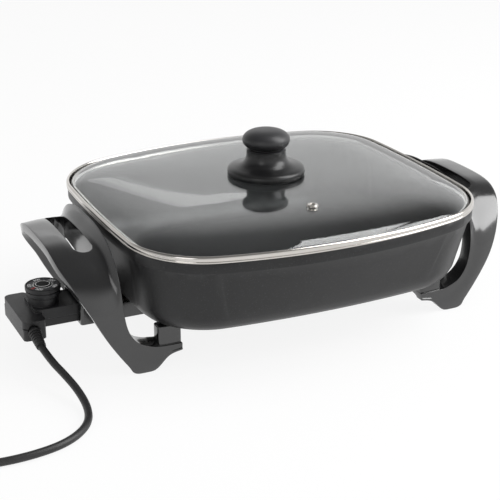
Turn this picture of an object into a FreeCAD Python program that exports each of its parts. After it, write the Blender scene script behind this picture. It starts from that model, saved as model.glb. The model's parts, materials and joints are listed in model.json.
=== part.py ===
import FreeCAD, Part
import math
import os
import re
import Sketcher

# Electric skillet: a cast pan on two arched handles, a domed glass lid and a plug-in heat control
# All lengths are millimetres. Z is up from the worktop, X runs along the pan, the control is at -X

doc = FreeCAD.newDocument("ElectricSkillet")
Vector = FreeCAD.Vector

# Driving dimensions
SIZES = [
    # Lid rim outline, seen from above, made of eight tangent arcs
    ("rim_half_length", 193.0),
    ("rim_half_width", 181.0),
    ("rim_side_radius", 520.0),
    ("rim_end_radius", 1600.0),
    ("rim_corner_radius", 85.0),
    ("rim_height", 7.2),
    ("rim_top", 138.7),
    ("rim_wall", 3.2),
    ("rim_ledge_thickness", 0.8),
    ("skirt_depth", 3.0),
    ("skirt_wall", 0.9),
    # Fits
    ("seat_gap", 0.3),
    ("running_gap", 0.4),
    ("screw_gap", 0.2),
    # Pan
    ("lip_height", 10.0),
    ("lip_inset", 1.2),
    ("lip_step", 2.2),
    ("pan_wall", 4.2),
    ("pan_base_thickness", 4.6),
    ("pan_bottom", 46.0),
    # Outline of the pan where the wall leaves the rounded base
    ("base_half_length", 182.0),
    ("base_half_width", 155.5),
    ("base_side_radius", 1050.0),
    ("base_end_radius", 1600.0),
    ("base_corner_radius", 77.0),
    ("base_fillet", 28.0),
    ("floor_fillet", 22.0),
    # Lid glass and its fittings
    ("glass_thickness", 4.0),
    ("glass_rise", 13.5),
    ("vent_forward", 110.0),
    ("vent_sideways", -2.5),
    ("vent_radius", 6.0),
    ("vent_hole_radius", 2.0),
    # Lid knob
    ("knob_flange_radius", 41.0),
    ("knob_flange_edge", 7.0),
    ("knob_neck_radius", 20.8),
    ("knob_neck_top", 26.0),
    ("knob_cap_radius", 26.0),
    ("knob_cap_height", 22.0),
    ("knob_screw_radius", 2.5),
    ("knob_washer_radius", 22.0),
    ("knob_washer_thickness", 2.0),
    # Handles
    ("handle_gap", 7.0),
    ("handle_reach", 254.5),
    ("handle_crown", 124.8),
    ("handle_shoulder", 119.5),
    ("handle_shoulder_half", 70.0),
    ("handle_knee_height", 62.0),
    ("handle_knee_half", 96.5),
    ("handle_foot_half", 99.0),
    ("handle_thickness", 11.0),
    ("handle_tilt", 0.05),
    ("collar_thickness", 7.0),
    ("collar_crown", 138.0),
    ("collar_end_half", 84.0),
    ("slot_near", 209.5),
    ("slot_far", 231.0),
    ("slot_half", 56.0),
    ("post_reach", 146.0),
    ("post_half", 90.0),
    ("post_radius", 7.0),
    ("post_foot", 20.0),
    ("handle_screw_radius", 2.0),
    # Heating element and its socket under the pan
    ("element_radius", 3.8),
    ("element_half_length", 112.0),
    ("element_half_width", 70.0),
    ("element_bend", 22.0),
    ("terminal_half", 12.0),
    ("terminal_level", 41.0),
    ("terminal_radius", 2.4),
    ("terminal_tip", 216.0),
    ("bushing_radius", 5.0),
    ("well_radius", 4.4),
    ("well_bore", 3.5),
    ("well_inner_end", 138.0),
    ("guard_mouth", 220.0),
    ("guard_inner_end", 134.0),
    ("guard_half", 27.0),
    ("guard_wall", 3.0),
    ("guard_bottom", 29.0),
    ("guard_hood_top", 56.0),
    ("guard_hood_length", 36.0),
    ("bulkhead_face", 196.0),
    ("bulkhead_thickness", 4.0),
    # Plug-in heat control
    ("nose_tip", 200.0),
    ("nose_half", 20.0),
    ("nose_bottom", 32.0),
    ("nose_top", 51.0),
    ("wing_inner", 259.0),
    ("control_reach", 282.0),
    ("wing_half", 38.0),
    ("wing_bottom", 28.0),
    ("wing_top", 48.0),
    ("housing_split", 40.0),
    ("housing_wall", 2.2),
    ("wing_corner", 7.0),
    ("rod_radius", 3.1),
    ("rod_tip", 145.0),
    ("receptacle_radius", 3.6),
    ("dial_reach", 250.0),
    ("dial_radius", 18.0),
    ("dial_height", 11.0),
    ("dial_top", 70.0),
    ("turret_radius", 15.5),
    ("spindle_radius", 3.0),
    # Cord
    ("cord_radius", 3.75),
    ("relief_forward", 38.0),
    ("relief_from_end", 10.0),
    ("relief_level", 38.0),
    ("relief_length", 24.0),
    ("relief_radius", 6.0),
    ("relief_dip", 16.0),
    ("coil_radius", 47.0),
    ("coil_pitch", 8.3),
    ("coil_layer", 8.2),
    ("coil_turns", 2.25),
    ("coil_lift", 0.3),
    ("coil_tail", 34.0),
    ("coil_reach", 402.0),
    ("coil_forward", 160.0),
    ("plug_half", 12.5),
    ("plug_length", 40.0),
]

# Hand-chosen points of the cord between the control and the coil, from the pan's middle
CORD_ROUTE = [
    (-269.0, -84.0, 25.2),
    (-262.8, -104.0, 19.2),
    (-257.3, -126.0, 12.2),
    (-256.0, -149.5, 6.2),
    (-262.0, -172.5, 4.15),
    (-276.5, -191.0, 4.1),
    (-297.0, -203.5, 4.1),
    (-322.0, -209.0, 4.1),
    (-347.0, -210.0, 4.1),
    (-371.0, -207.0, 4.05),
]

sizes = doc.addObject("Spreadsheet::Sheet", "Sizes")
for row, (alias, value) in enumerate(SIZES, start=1):
    sizes.set("A%d" % row, alias)
    sizes.set("B%d" % row, str(value))
    sizes.setAlias("B%d" % row, alias)
doc.recompute()

ALIASES = {alias for alias, _ in SIZES}
pieces = {}


def ref(text):
    """Turn a formula of plain size names into one that other objects can read."""
    return re.sub(r"[a-z]+(?:_[a-z]+)+", lambda m: "Sizes." + m.group() if m.group() in ALIASES else m.group(), str(text))


def number(text):
    """Work out a formula of size names now."""
    value = sizes.evalExpression(ref(text))
    return float(getattr(value, "Value", value))


def bind(obj, prop, text):
    """Let a property follow a formula of size names."""
    obj.setExpression(prop, ref(text))


# The middle of the whole object lies halfway between the control's end and the far handle
PAN_X = "(control_reach - handle_reach) / 2"


def new_body(label):
    """A body modelled about the pan's middle and shifted to the object's own origin."""
    body = doc.addObject("PartDesign::Body", label)
    body.Label = label
    bind(body, "Placement.Base.x", PAN_X)
    pieces[label] = body
    return body


def plane(body, role):
    return [f for f in body.Origin.OriginFeatures if f.Role == role][0]


def new_sketch(body, name, role, offset="0"):
    sketch = body.newObject("Sketcher::SketchObject", name)
    sketch.AttachmentSupport = (plane(body, role), [""])
    sketch.MapMode = "FlatFace"
    bind(sketch, "AttachmentOffset.Base.z", offset)
    return sketch


def hold(sketch, kind, *args):
    """Add a dimension whose value follows a formula."""
    *where, text = args
    index = sketch.addConstraint(Sketcher.Constraint(kind, *where, number(text)))
    bind(sketch, "Constraints[%d]" % index, text)


def place_point(sketch, geometry, position, x, y):
    hold(sketch, "DistanceX", geometry, position, x)
    hold(sketch, "DistanceY", geometry, position, y)


def draw(sketch, corners, closed=True):
    """Straight lines through corners (x, y, radius), with a tangent arc at each corner that has a radius."""
    points = [Vector(number(x), number(y), 0) for x, y, _ in corners]
    radii = [number(radius) for _, _, radius in corners]
    count = len(points)
    leave = []
    reach = []
    for i in range(count):
        here = points[i]
        before = points[i - 1] - here
        after = points[(i + 1) % count] - here
        rounded = radii[i] > 0 and (closed or 0 < i < count - 1)
        setback = radii[i] / math.tan(before.getAngle(after) / 2) if rounded else 0.0
        reach.append(here + before.normalize() * setback)
        leave.append(here + after.normalize() * setback)
    spans = count if closed else count - 1
    first = sketch.GeometryCount
    for i in range(spans):
        sketch.addGeometry(Part.LineSegment(leave[i], reach[(i + 1) % count]), False)
    for i in range(count):
        x, y, radius = corners[i]
        incoming = first + (i - 1) % count
        outgoing = first + i
        if not closed and i == 0:
            place_point(sketch, outgoing, 1, x, y)
            continue
        if not closed and i == count - 1:
            place_point(sketch, incoming, 2, x, y)
            continue
        if radii[i] <= 0:
            sketch.addConstraint(Sketcher.Constraint("Coincident", incoming, 2, outgoing, 1))
            place_point(sketch, outgoing, 1, x, y)
            continue
        before = points[i - 1] - points[i]
        after = points[(i + 1) % count] - points[i]
        middle = points[i] + (before.normalize() + after.normalize()).normalize() * (
            radii[i] / math.sin(before.getAngle(after) / 2))
        left_turn = before.x * after.y - before.y * after.x < 0
        start, end = (reach[i], leave[i]) if left_turn else (leave[i], reach[i])
        angles = [math.atan2(p.y - middle.y, p.x - middle.x) for p in (start, end)]
        circle = Part.Circle(middle, Vector(0, 0, 1), radii[i])
        arc = sketch.addGeometry(Part.ArcOfCircle(circle, angles[0], angles[1]), False)
        spot = sketch.addGeometry(Part.Point(points[i]), True)
        start_of, end_of = (1, 2) if left_turn else (2, 1)
        sketch.addConstraint(Sketcher.Constraint("Tangent", incoming, 2, arc, start_of))
        sketch.addConstraint(Sketcher.Constraint("Tangent", outgoing, 1, arc, end_of))
        hold(sketch, "Radius", arc, radius)
        place_point(sketch, spot, 1, x, y)
        sketch.addConstraint(Sketcher.Constraint("PointOnObject", spot, 1, incoming))
        sketch.addConstraint(Sketcher.Constraint("PointOnObject", spot, 1, outgoing))


def draw_circle(sketch, x, y, radius):
    circle = Part.Circle(Vector(number(x), number(y), 0), Vector(0, 0, 1), number(radius))
    index = sketch.addGeometry(circle, False)
    place_point(sketch, index, 3, x, y)
    hold(sketch, "Radius", index, radius)


def draw_box(sketch, left, right, low, high, radius="0"):
    draw(sketch, [(left, low, radius), (right, low, radius), (right, high, radius), (left, high, radius)])


def corner_centre(a, b, side, end, corner):
    """Centre of the corner circle that touches the side circle and the end circle from inside."""
    x1, y1, d1 = 0.0, b - side, side - corner
    x2, y2, d2 = a - end, 0.0, end - corner
    gap = math.hypot(x2 - x1, y2 - y1)
    along = (d1 * d1 - d2 * d2 + gap * gap) / (2 * gap)
    across = math.sqrt(max(d1 * d1 - along * along, 0.0))
    ux, uy = (x2 - x1) / gap, (y2 - y1) / gap
    found = [(x1 + along * ux - s * across * uy, y1 + along * uy + s * across * ux) for s in (1, -1)]
    return max(found)


def draw_outline(sketch, half_length, half_width, side, end, corner):
    """The pan's plan outline: bulged sides and ends joined by tangent corner arcs."""
    a, b, side_r, end_r, r = [number(v) for v in (half_length, half_width, side, end, corner)]
    cx, cy = corner_centre(a, b, side_r, end_r, r)
    end_angle = math.atan2(cy, cx - (a - end_r))
    side_angle = math.atan2(cy - (b - side_r), cx)
    quarter = math.pi / 2
    arcs = []

    def add(x, y, radius, start, stop):
        circle = Part.Circle(Vector(x, y, 0), Vector(0, 0, 1), radius)
        arcs.append(sketch.addGeometry(Part.ArcOfCircle(circle, start, stop), False))

    add(a - end_r, 0, end_r, -end_angle, end_angle)
    add(cx, cy, r, end_angle, side_angle)
    add(0, b - side_r, side_r, side_angle, 2 * quarter - side_angle)
    add(-cx, cy, r, 2 * quarter - side_angle, 2 * quarter - end_angle)
    add(end_r - a, 0, end_r, 2 * quarter - end_angle, 2 * quarter + end_angle)
    add(-cx, -cy, r, 2 * quarter + end_angle, 2 * quarter + side_angle)
    add(0, side_r - b, side_r, 2 * quarter + side_angle, 4 * quarter - side_angle)
    add(cx, -cy, r, 4 * quarter - side_angle, 4 * quarter - end_angle)
    for i in range(8):
        sketch.addConstraint(Sketcher.Constraint("Tangent", arcs[i], 2, arcs[(i + 1) % 8], 1))
    for i in (1, 3, 5, 7):
        hold(sketch, "Radius", arcs[i], corner)
    for i, sign in ((0, ""), (4, "-")):
        hold(sketch, "Radius", arcs[i], end)
        place_point(sketch, arcs[i], 3, "%s(%s - (%s))" % (sign, half_length, end), "0")
    for i, sign in ((2, ""), (6, "-")):
        hold(sketch, "Radius", arcs[i], side)
        place_point(sketch, arcs[i], 3, "0", "%s(%s - (%s))" % (sign, half_width, side))


def rim_outline(body, name, level, inset="0", share="1"):
    """The lid rim's outline drawn in by an inset, then shrunk to a share of itself."""
    sketch = new_sketch(body, name, "XY_Plane", level)
    values = ["(rim_%s - (%s)) * (%s)" % (part, inset, share) for part in
              ("half_length", "half_width", "side_radius", "end_radius", "corner_radius")]
    draw_outline(sketch, *values)
    return sketch


def base_outline(body, name, level, inset="0"):
    sketch = new_sketch(body, name, "XY_Plane", level)
    values = ["base_%s - (%s)" % (part, inset) for part in
              ("half_length", "half_width", "side_radius", "end_radius", "corner_radius")]
    draw_outline(sketch, *values)
    return sketch


def pad(body, name, sketch, length, reverse=False, centred=False):
    feature = body.newObject("PartDesign::Pad", name)
    feature.Profile = sketch
    bind(feature, "Length", length)
    feature.Reversed = reverse
    feature.Midplane = centred
    return feature


def pocket(body, name, sketch, length, reverse=False, centred=False):
    feature = body.newObject("PartDesign::Pocket", name)
    feature.Profile = sketch
    bind(feature, "Length", length)
    feature.Reversed = reverse
    feature.Midplane = centred
    return feature


def loft(body, kind, name, sketches, ruled):
    feature = body.newObject("PartDesign::" + kind, name)
    feature.Profile = sketches[0]
    feature.Sections = sketches[1:]
    feature.Ruled = ruled
    return feature


def revolve(body, name, corners, offset="0", groove=False):
    """Turn an X-Z profile round the body's own Z axis."""
    sketch = new_sketch(body, name + "_profile", "XZ_Plane", offset)
    draw(sketch, corners)
    feature = body.newObject("PartDesign::" + ("Groove" if groove else "Revolution"), name)
    feature.Profile = sketch
    feature.ReferenceAxis = (sketch, ["V_Axis"])
    feature.Angle = 360
    return feature


def cylinder(name, radius, length, x, y, z, along="Z"):
    """A plain cylinder from a starting point, along one axis."""
    solid = doc.addObject("Part::Cylinder", name)
    bind(solid, "Radius", radius)
    bind(solid, "Height", length)
    turn = {"Z": (Vector(0, 0, 1), 0), "X": (Vector(0, 1, 0), 90), "Y": (Vector(1, 0, 0), -90)}[along]
    solid.Placement = FreeCAD.Placement(Vector(), FreeCAD.Rotation(*turn))
    bind(solid, "Placement.Base.x", "%s + (%s)" % (PAN_X, x))
    bind(solid, "Placement.Base.y", y)
    bind(solid, "Placement.Base.z", z)
    return solid


def box(name, x, y, z, length, width, height):
    solid = doc.addObject("Part::Box", name)
    bind(solid, "Length", length)
    bind(solid, "Width", width)
    bind(solid, "Height", height)
    bind(solid, "Placement.Base.x", "%s + (%s)" % (PAN_X, x))
    bind(solid, "Placement.Base.y", y)
    bind(solid, "Placement.Base.z", z)
    return solid


def join(label, parts):
    fuse = doc.addObject("Part::MultiFuse", label)
    fuse.Shapes = parts
    fuse.Label = label
    return fuse


def cut(label, base, tool):
    feature = doc.addObject("Part::Cut", label)
    feature.Base = base
    feature.Tool = tool
    feature.Label = label
    return feature


def group(label, parts):
    """Identical loose solids kept as one piece of the list."""
    feature = doc.addObject("Part::Compound", label)
    feature.Links = parts
    feature.Label = label
    pieces[label] = feature
    return feature


# Levels that several pieces share
HANDLE_INNER = "(rim_half_length + handle_gap)"
RELIEF_REACH = "(control_reach - relief_from_end)"
RIM_BOTTOM = "(rim_top - rim_height)"
PAN_TOP = "(rim_top - rim_height - seat_gap)"
LIP_BOTTOM = "(rim_top - rim_height - seat_gap - lip_height)"
PAN_FLOOR = "(pan_bottom + pan_base_thickness)"
WALL_INSET = "(lip_inset + lip_step)"
MOUTH_INSET = "(lip_inset + lip_step + pan_wall)"
SKIRT_INSET = "(lip_inset + lip_step + pan_wall + running_gap * 2 + skirt_depth * 0.5)"
GLASS_TOP = "(rim_top + glass_rise)"
HOLE_DEPTH = "(pan_base_thickness * 0.65)"


def bowl(body, name, level, wall, radius, mouth):
    """A tapered bowl whose base rounds up into the wall: a loft through outlines that follow the round."""
    outlines = []
    for i, angle in enumerate((0, 16, 34, 52, 70)):
        inward = "%s + %s * (1 - sin(%d deg))" % (wall, radius, angle)
        height = "%s + %s * (1 - cos(%d deg))" % (level, radius, angle)
        outlines.append(base_outline(body, "%s_outline_%d" % (name, i), height, inward))
    loft(body, "AdditiveLoft", name + "_base", outlines, True)
    top = base_outline(body, name + "_joint", height, inward)
    return loft(body, "AdditiveLoft", name, [top, mouth], True)


def make_pan():
    body = new_body("pan_casting")
    bowl(body, "pan_outer", "pan_bottom", "0", "base_fillet",
         rim_outline(body, "pan_wall_outline", LIP_BOTTOM, WALL_INSET))
    pad(body, "pan_lip", rim_outline(body, "pan_lip_outline", LIP_BOTTOM, "lip_inset"), "lip_height")
    doc.recompute()
    holes = new_sketch(body, "pan_screw_holes_outline", "XY_Plane", "pan_bottom")
    for sx in ("", "-"):
        for sy in ("", "-"):
            draw_circle(holes, sx + "post_reach", sy + "post_half", "handle_screw_radius + screw_gap")
    for sy in ("", "-"):
        draw_circle(holes, "-guard_inner_end - guard_wall * 2", sy + "(guard_half - guard_wall * 2)",
                    "handle_screw_radius + screw_gap")
    pocket(body, "pan_screw_holes", holes, HOLE_DEPTH, reverse=True)
    # The cooking space is modelled as a solid of its own and cut out of the casting
    space = new_body("cooking_space")
    bowl(space, "space_round", PAN_FLOOR, "pan_wall", "floor_fillet",
         rim_outline(space, "space_mouth_outline", PAN_TOP, MOUTH_INSET))
    del pieces["pan_casting"], pieces["cooking_space"]
    pieces["pan_body"] = cut("pan_body", body, space)


def make_heating_element():
    body = new_body("heating_element")
    path = new_sketch(body, "element_path", "XY_Plane", "pan_bottom - seat_gap - element_radius")
    end = "-(bulkhead_face - bulkhead_thickness - seat_gap)"
    near = "-element_half_length"
    draw(path, [
        (end, "terminal_half", "0"),
        (near, "terminal_half", "element_bend * 0.8"),
        (near, "element_half_width", "element_bend"),
        ("element_half_length", "element_half_width", "element_bend * 2"),
        ("element_half_length", "-element_half_width", "element_bend * 2"),
        (near, "-element_half_width", "element_bend"),
        (near, "-terminal_half", "element_bend * 0.8"),
        (end, "-terminal_half", "0"),
    ], closed=False)
    section = new_sketch(body, "element_section", "YZ_Plane", end)
    draw_circle(section, "terminal_half", "pan_bottom - seat_gap - element_radius", "element_radius")
    pipe = body.newObject("PartDesign::AdditivePipe", "element_tube")
    pipe.Profile = section
    pipe.Spine = path


def make_socket():
    # Contact pins that the control pushes on to
    ELEMENT_LEVEL = "pan_bottom - seat_gap - element_radius"
    pins = [cylinder("pin_%s" % side, "terminal_radius",
                     "terminal_tip - (bulkhead_face - bulkhead_thickness - seat_gap)",
                     "-terminal_tip", sign + "terminal_half", ELEMENT_LEVEL, "X")
            for side, sign in (("rear", ""), ("front", "-"))]
    rounded = []
    for pin in pins:
        tip = doc.addObject("Part::Fillet", pin.Name + "_tip")
        tip.Base = pin
        doc.recompute()
        nearest = min(range(len(pin.Shape.Edges)), key=lambda i: pin.Shape.Edges[i].BoundBox.XMax)
        radius = number("terminal_radius * 0.6")
        tip.Edges = [(nearest + 1, radius, radius)]
        rounded.append(tip)
    group("terminal_pins", rounded)
    # Insulating bushings round the pins in the bulkhead
    bushings = []
    for side, sign in (("rear", ""), ("front", "-")):
        solid = cylinder("bushing_%s_solid" % side, "bushing_radius", "bulkhead_thickness + 1.5",
                         "-bulkhead_face - 1.5", sign + "terminal_half", ELEMENT_LEVEL, "X")
        bore = cylinder("bushing_%s_bore" % side, "terminal_radius + 0.05", "bulkhead_thickness + 3",
                        "-bulkhead_face - 2", sign + "terminal_half", ELEMENT_LEVEL, "X")
        bushings.append(cut("bushing_" + side, solid, bore))
    group("terminal_bushings", bushings)
    # Blind tube under the pan that the sensing rod slides into
    well = new_body("sensor_well")
    outer = new_sketch(well, "well_outline", "YZ_Plane", "-(bulkhead_face + 1)")
    draw_circle(outer, "0", "pan_bottom - seat_gap - well_radius", "well_radius")
    pad(well, "well_tube", outer, "bulkhead_face + 1 - well_inner_end")
    bore = new_sketch(well, "well_bore_outline", "YZ_Plane", "-(bulkhead_face + 1)")
    draw_circle(bore, "0", "pan_bottom - seat_gap - well_radius", "well_bore")
    pocket(well, "well_bore_cut", bore, "bulkhead_face + 1 - well_inner_end - 2", reverse=True)
    # Guard: a channel with a hooded mouth and a bulkhead that holds pins and well
    guard = new_body("socket_guard")
    plan = new_sketch(guard, "guard_channel_outline", "XY_Plane", "guard_bottom")
    draw_box(plan, "-guard_mouth", "-guard_inner_end", "-guard_half", "guard_half", "3")
    pad(guard, "guard_channel", plan, "pan_bottom - seat_gap - guard_bottom")
    hood = new_sketch(guard, "guard_hood_outline", "XY_Plane", "pan_bottom - seat_gap - 1")
    draw_box(hood, "-guard_mouth", "-guard_mouth + guard_hood_length", "-guard_half", "guard_half", "3")
    pad(guard, "guard_hood", hood, "guard_hood_top - (pan_bottom - seat_gap - 1)")
    mouth = new_sketch(guard, "guard_mouth_outline", "YZ_Plane", "-guard_mouth")
    draw_box(mouth, "-guard_half + guard_wall", "guard_half - guard_wall",
             "guard_bottom + guard_wall", "guard_hood_top - guard_wall", "2")
    pocket(guard, "guard_mouth_cut", mouth, "guard_mouth - bulkhead_face", reverse=True)
    back = new_sketch(guard, "guard_back_outline", "XY_Plane", "guard_bottom + guard_wall")
    draw_box(back, "-bulkhead_face + bulkhead_thickness", "-guard_inner_end - guard_wall",
             "-guard_half + guard_wall", "guard_half - guard_wall", "2")
    pocket(guard, "guard_back_cut", back, "guard_hood_top", reverse=True)
    boss = new_sketch(guard, "guard_boss_outline", "XY_Plane", "guard_bottom")
    for sy in ("", "-"):
        draw_circle(boss, "-guard_inner_end - guard_wall * 2", sy + "(guard_half - guard_wall * 2)", "guard_wall * 1.4")
    pad(guard, "guard_bosses", boss, "pan_bottom - seat_gap - guard_bottom")
    doc.recompute()
    boss_holes = new_sketch(guard, "guard_boss_holes", "XY_Plane", "guard_bottom")
    for sy in ("", "-"):
        draw_circle(boss_holes, "-guard_inner_end - guard_wall * 2", sy + "(guard_half - guard_wall * 2)",
                    "handle_screw_radius + screw_gap")
    pocket(guard, "guard_boss_bores", boss_holes, "pan_bottom", reverse=True)
    holes = new_sketch(guard, "bulkhead_holes", "YZ_Plane", "-bulkhead_face - 1")
    for sy in ("", "-"):
        draw_circle(holes, sy + "terminal_half", ELEMENT_LEVEL, "bushing_radius + 0.05")
    draw_circle(holes, "0", "pan_bottom - seat_gap - well_radius", "well_radius + 0.05")
    pocket(guard, "bulkhead_bores", holes, "bulkhead_thickness + 2", reverse=True)
    doc.recompute()
    passages = new_sketch(guard, "element_passages_outline", "YZ_Plane", "-guard_inner_end - guard_wall - 1")
    for sy in ("", "-"):
        draw_circle(passages, sy + "terminal_half", ELEMENT_LEVEL, "element_radius + running_gap")
    pocket(guard, "element_passages", passages, "guard_wall + 2", reverse=True)
    # Screws from below through the guard's bosses into the pan
    screws = []
    for side, sign in (("rear", ""), ("front", "-")):
        where = ("-guard_inner_end - guard_wall * 2", sign + "(guard_half - guard_wall * 2)")
        head = cylinder("guard_screw_head_" + side, "handle_screw_radius * 1.8", "2", *where, "guard_bottom - 2")
        stem = cylinder("guard_screw_stem_" + side, "handle_screw_radius",
                        "pan_bottom - guard_bottom + " + HOLE_DEPTH + " - 0.5", *where, "guard_bottom")
        screws.append(join("guard_screw_" + side, [head, stem]))
    group("guard_screws", screws)


def make_handle(label, side):
    """Arched ribbon handle: crown with a finger slot and two legs that sweep in to feet and posts."""
    sign = "" if side > 0 else "-"
    body = new_body(label)
    rise = "handle_tilt * (" + HANDLE_INNER + " - post_reach + post_radius)"

    def arch(drop):
        """Half corners of the ribbon's outline in side view, drawn in by the ribbon's thickness."""
        return [
            ("handle_foot_half - (%s)" % drop, "-10", "0"),
            ("handle_knee_half - (%s)" % drop, "handle_knee_height + (%s)" % rise, "60"),
            ("handle_shoulder_half - (%s) * 0.75" % drop, "handle_shoulder - (%s) * 0.9 + (%s)" % (drop, rise),
             "45 - (%s)" % drop),
            ("0", "handle_crown - (%s) + (%s)" % (drop, rise), "300"),
        ]

    def mirrored(corners):
        return corners + [("-(%s)" % x, z, r) for x, z, r in corners[-2::-1]]

    band = new_sketch(body, label + "_band_outline", "YZ_Plane", sign + "(post_reach - post_radius)")
    draw(band, mirrored(arch("0")) + mirrored(arch("handle_thickness"))[::-1])
    ribbon = pad(body, label + "_band", band, "handle_reach - post_reach + post_radius")
    ribbon.UseCustomVector = True
    ribbon.Direction = Vector(side, 0, -number("handle_tilt"))
    ribbon.AlongSketchNormal = True
    # Trim the ribbon to its front outline by cutting away all that lies outside it
    trim = new_sketch(body, label + "_front_outline", "XZ_Plane")
    draw_box(trim, "-350", "350", "-60", "260")
    outline = [
        ("handle_reach", "200", "0"),
        ("handle_reach", "handle_shoulder - 6", "60"),
        ("handle_reach - 29", "handle_knee_height - 6", "90"),
        ("handle_reach - 69", "0", "4"),
        ("handle_reach - 86", "0", "6"),
        ("post_reach + post_radius * 3 + 1", "post_foot - 2", "6"),
        ("post_reach - post_radius", "post_foot - 2", "0"),
        ("post_reach - post_radius", "post_foot + 7", "0"),
        (HANDLE_INNER + " - 36", "post_foot + 6", "34"),
        (HANDLE_INNER + " + 2", "handle_knee_height - 4", "26"),
        (HANDLE_INNER + " - 5", "handle_shoulder - 30", "60"),
        (HANDLE_INNER, "200", "0"),
    ]
    draw(trim, [("%s(%s)" % (sign, x), z, r) for x, z, r in outline])
    pocket(body, label + "_trim", trim, "400", centred=True)
    # Upright collar beside the pan that rises above the ribbon
    collar = new_sketch(body, label + "_collar_outline", "YZ_Plane", sign + HANDLE_INNER)
    draw(collar, mirrored([
        ("collar_end_half + 2", "handle_knee_height + 24", "0"),
        ("collar_end_half", "collar_crown - 17", "12"),
        ("collar_end_half - 30", "collar_crown - 6", "60"),
        ("0", "collar_crown", "220"),
    ]) + mirrored([
        ("collar_end_half - 6", "handle_knee_height + 24", "0"),
        ("handle_shoulder_half - 3", "handle_shoulder - 8", "30"),
        ("0", "handle_crown - 6", "220"),
    ])[::-1])
    pad(body, label + "_collar", collar, "collar_thickness", reverse=side < 0)
    doc.recompute()
    slot = new_sketch(body, label + "_slot_outline", "XY_Plane", "handle_knee_height + 30")
    draw_box(slot, *(["slot_near", "slot_far"] if side > 0 else ["-slot_far", "-slot_near"]),
             "-slot_half", "slot_half", "(slot_far - slot_near) * 0.48")
    pocket(body, label + "_slot", slot, "120", reverse=True)
    posts = new_sketch(body, label + "_post_outline", "XY_Plane", "post_foot - 2")
    for sy in ("", "-"):
        near, far = sign + "(post_reach - post_radius)", sign + "(post_reach + post_radius * 2.6)"
        draw_box(posts, *((near, far) if side > 0 else (far, near)),
                 sy + "post_half - post_radius", sy + "post_half + post_radius", "post_radius * 0.95")
    pad(body, label + "_posts", posts, "pan_bottom - seat_gap - post_foot + 2")
    bores = new_sketch(body, label + "_bore_outline", "XY_Plane", "post_foot - 3")
    for sy in ("", "-"):
        draw_circle(bores, sign + "post_reach", sy + "post_half", "handle_screw_radius + screw_gap")
    pocket(body, label + "_bores", bores, "pan_bottom", reverse=True)


def make_handle_screws():
    screws = []
    for end, sx in (("right", ""), ("left", "-")):
        for side, sy in (("rear", ""), ("front", "-")):
            name = "%s_%s" % (end, side)
            where = (sx + "post_reach", sy + "post_half")
            head = cylinder("screw_head_" + name, "handle_screw_radius * 2", "2.4", *where, "post_foot - 2 - 2.4")
            stem = cylinder("screw_stem_" + name, "handle_screw_radius",
                            "pan_bottom - post_foot + 2 + " + HOLE_DEPTH + " - 0.5", *where, "post_foot - 2")
            screws.append(join("handle_screw_" + name, [head, stem]))
    group("handle_screws", screws)


def make_lid():
    # Steel rim: an outer band, a ledge under the glass and a skirt inside the pan's mouth
    rim = new_body("lid_rim")
    pad(rim, "rim_band", rim_outline(rim, "rim_outer", RIM_BOTTOM), "rim_height")
    doc.recompute()
    pocket(rim, "rim_seat", rim_outline(rim, "rim_seat_outline", RIM_BOTTOM + " + rim_ledge_thickness", "rim_wall"),
           "rim_height", reverse=True)
    pad(rim, "rim_skirt", rim_outline(rim, "rim_skirt_outline", RIM_BOTTOM, SKIRT_INSET), "skirt_depth", reverse=True)
    doc.recompute()
    pocket(rim, "rim_opening",
           rim_outline(rim, "rim_inner", RIM_BOTTOM + " - skirt_depth - 1", SKIRT_INSET + " + skirt_wall"),
           "skirt_depth + rim_height + 2", reverse=True)
    # Glass dome: a steep shoulder that runs into a shallow crown, as a rounded curve from rim to middle
    glass = new_body("lid_glass")
    seat = RIM_BOTTOM + " + rim_ledge_thickness + 0.1"
    angles = (0, 18, 36, 52, 66, 76, 83, 88)
    shares = [math.cos(math.radians(angle)) ** 0.35 for angle in angles]
    rises = [math.sin(math.radians(angle)) * 0.86 + (1 - share) * 0.2 for angle, share in zip(angles, shares)]
    for kind, name, inset, drop in (("AdditiveLoft", "glass_dome", "rim_wall + 0.2", "0"),
                                    ("SubtractiveLoft", "glass_hollow", "rim_wall + 0.2 + glass_thickness",
                                     "glass_thickness")):
        skins = []
        for i, (share, rise) in enumerate(zip(shares, rises)):
            level = "%s + (%s - (%s)) * %.5f / %.5f - (%s)" % (seat, GLASS_TOP, seat, rise, rises[-1], drop)
            skins.append(rim_outline(glass, "%s_%d" % (name, i), level, inset, "%.5f" % share))
        loft(glass, kind, name, skins, True)
    doc.recompute()
    holes = new_sketch(glass, "glass_holes_outline", "XY_Plane", GLASS_TOP + " - glass_rise")
    draw_circle(holes, "0", "0", "knob_screw_radius + 1.5")
    draw_circle(holes, "vent_sideways", "-vent_forward", "vent_radius * 0.6 + 0.2")
    pocket(glass, "glass_holes", holes, "glass_rise + 5", reverse=True)


def make_vent():
    """Steel grommet through the glass with a small steam hole."""
    body = new_body("vent_grommet")
    bind(body, "Placement.Base.x", PAN_X + " + vent_sideways")
    bind(body, "Placement.Base.y", "-vent_forward")
    crown = GLASS_TOP + " - glass_rise * 0.133"
    revolve(body, "grommet", [
        ("vent_hole_radius", crown + " - glass_thickness - 1.9", "0"),
        ("vent_radius * 0.95", crown + " - glass_thickness - 1.9", "0"),
        ("vent_radius * 0.95", crown + " - glass_thickness - 0.8", "0"),
        ("vent_radius * 0.6", crown + " - glass_thickness - 0.8", "0"),
        ("vent_radius * 0.6", crown + " + 0.5", "0"),
        ("vent_radius", crown + " + 0.5", "0"),
        ("vent_radius", crown + " + 1.4", "0"),
        ("vent_radius * 0.7", crown + " + 2", "0"),
        ("vent_hole_radius", crown + " + 1.6", "0"),
    ])


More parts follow.
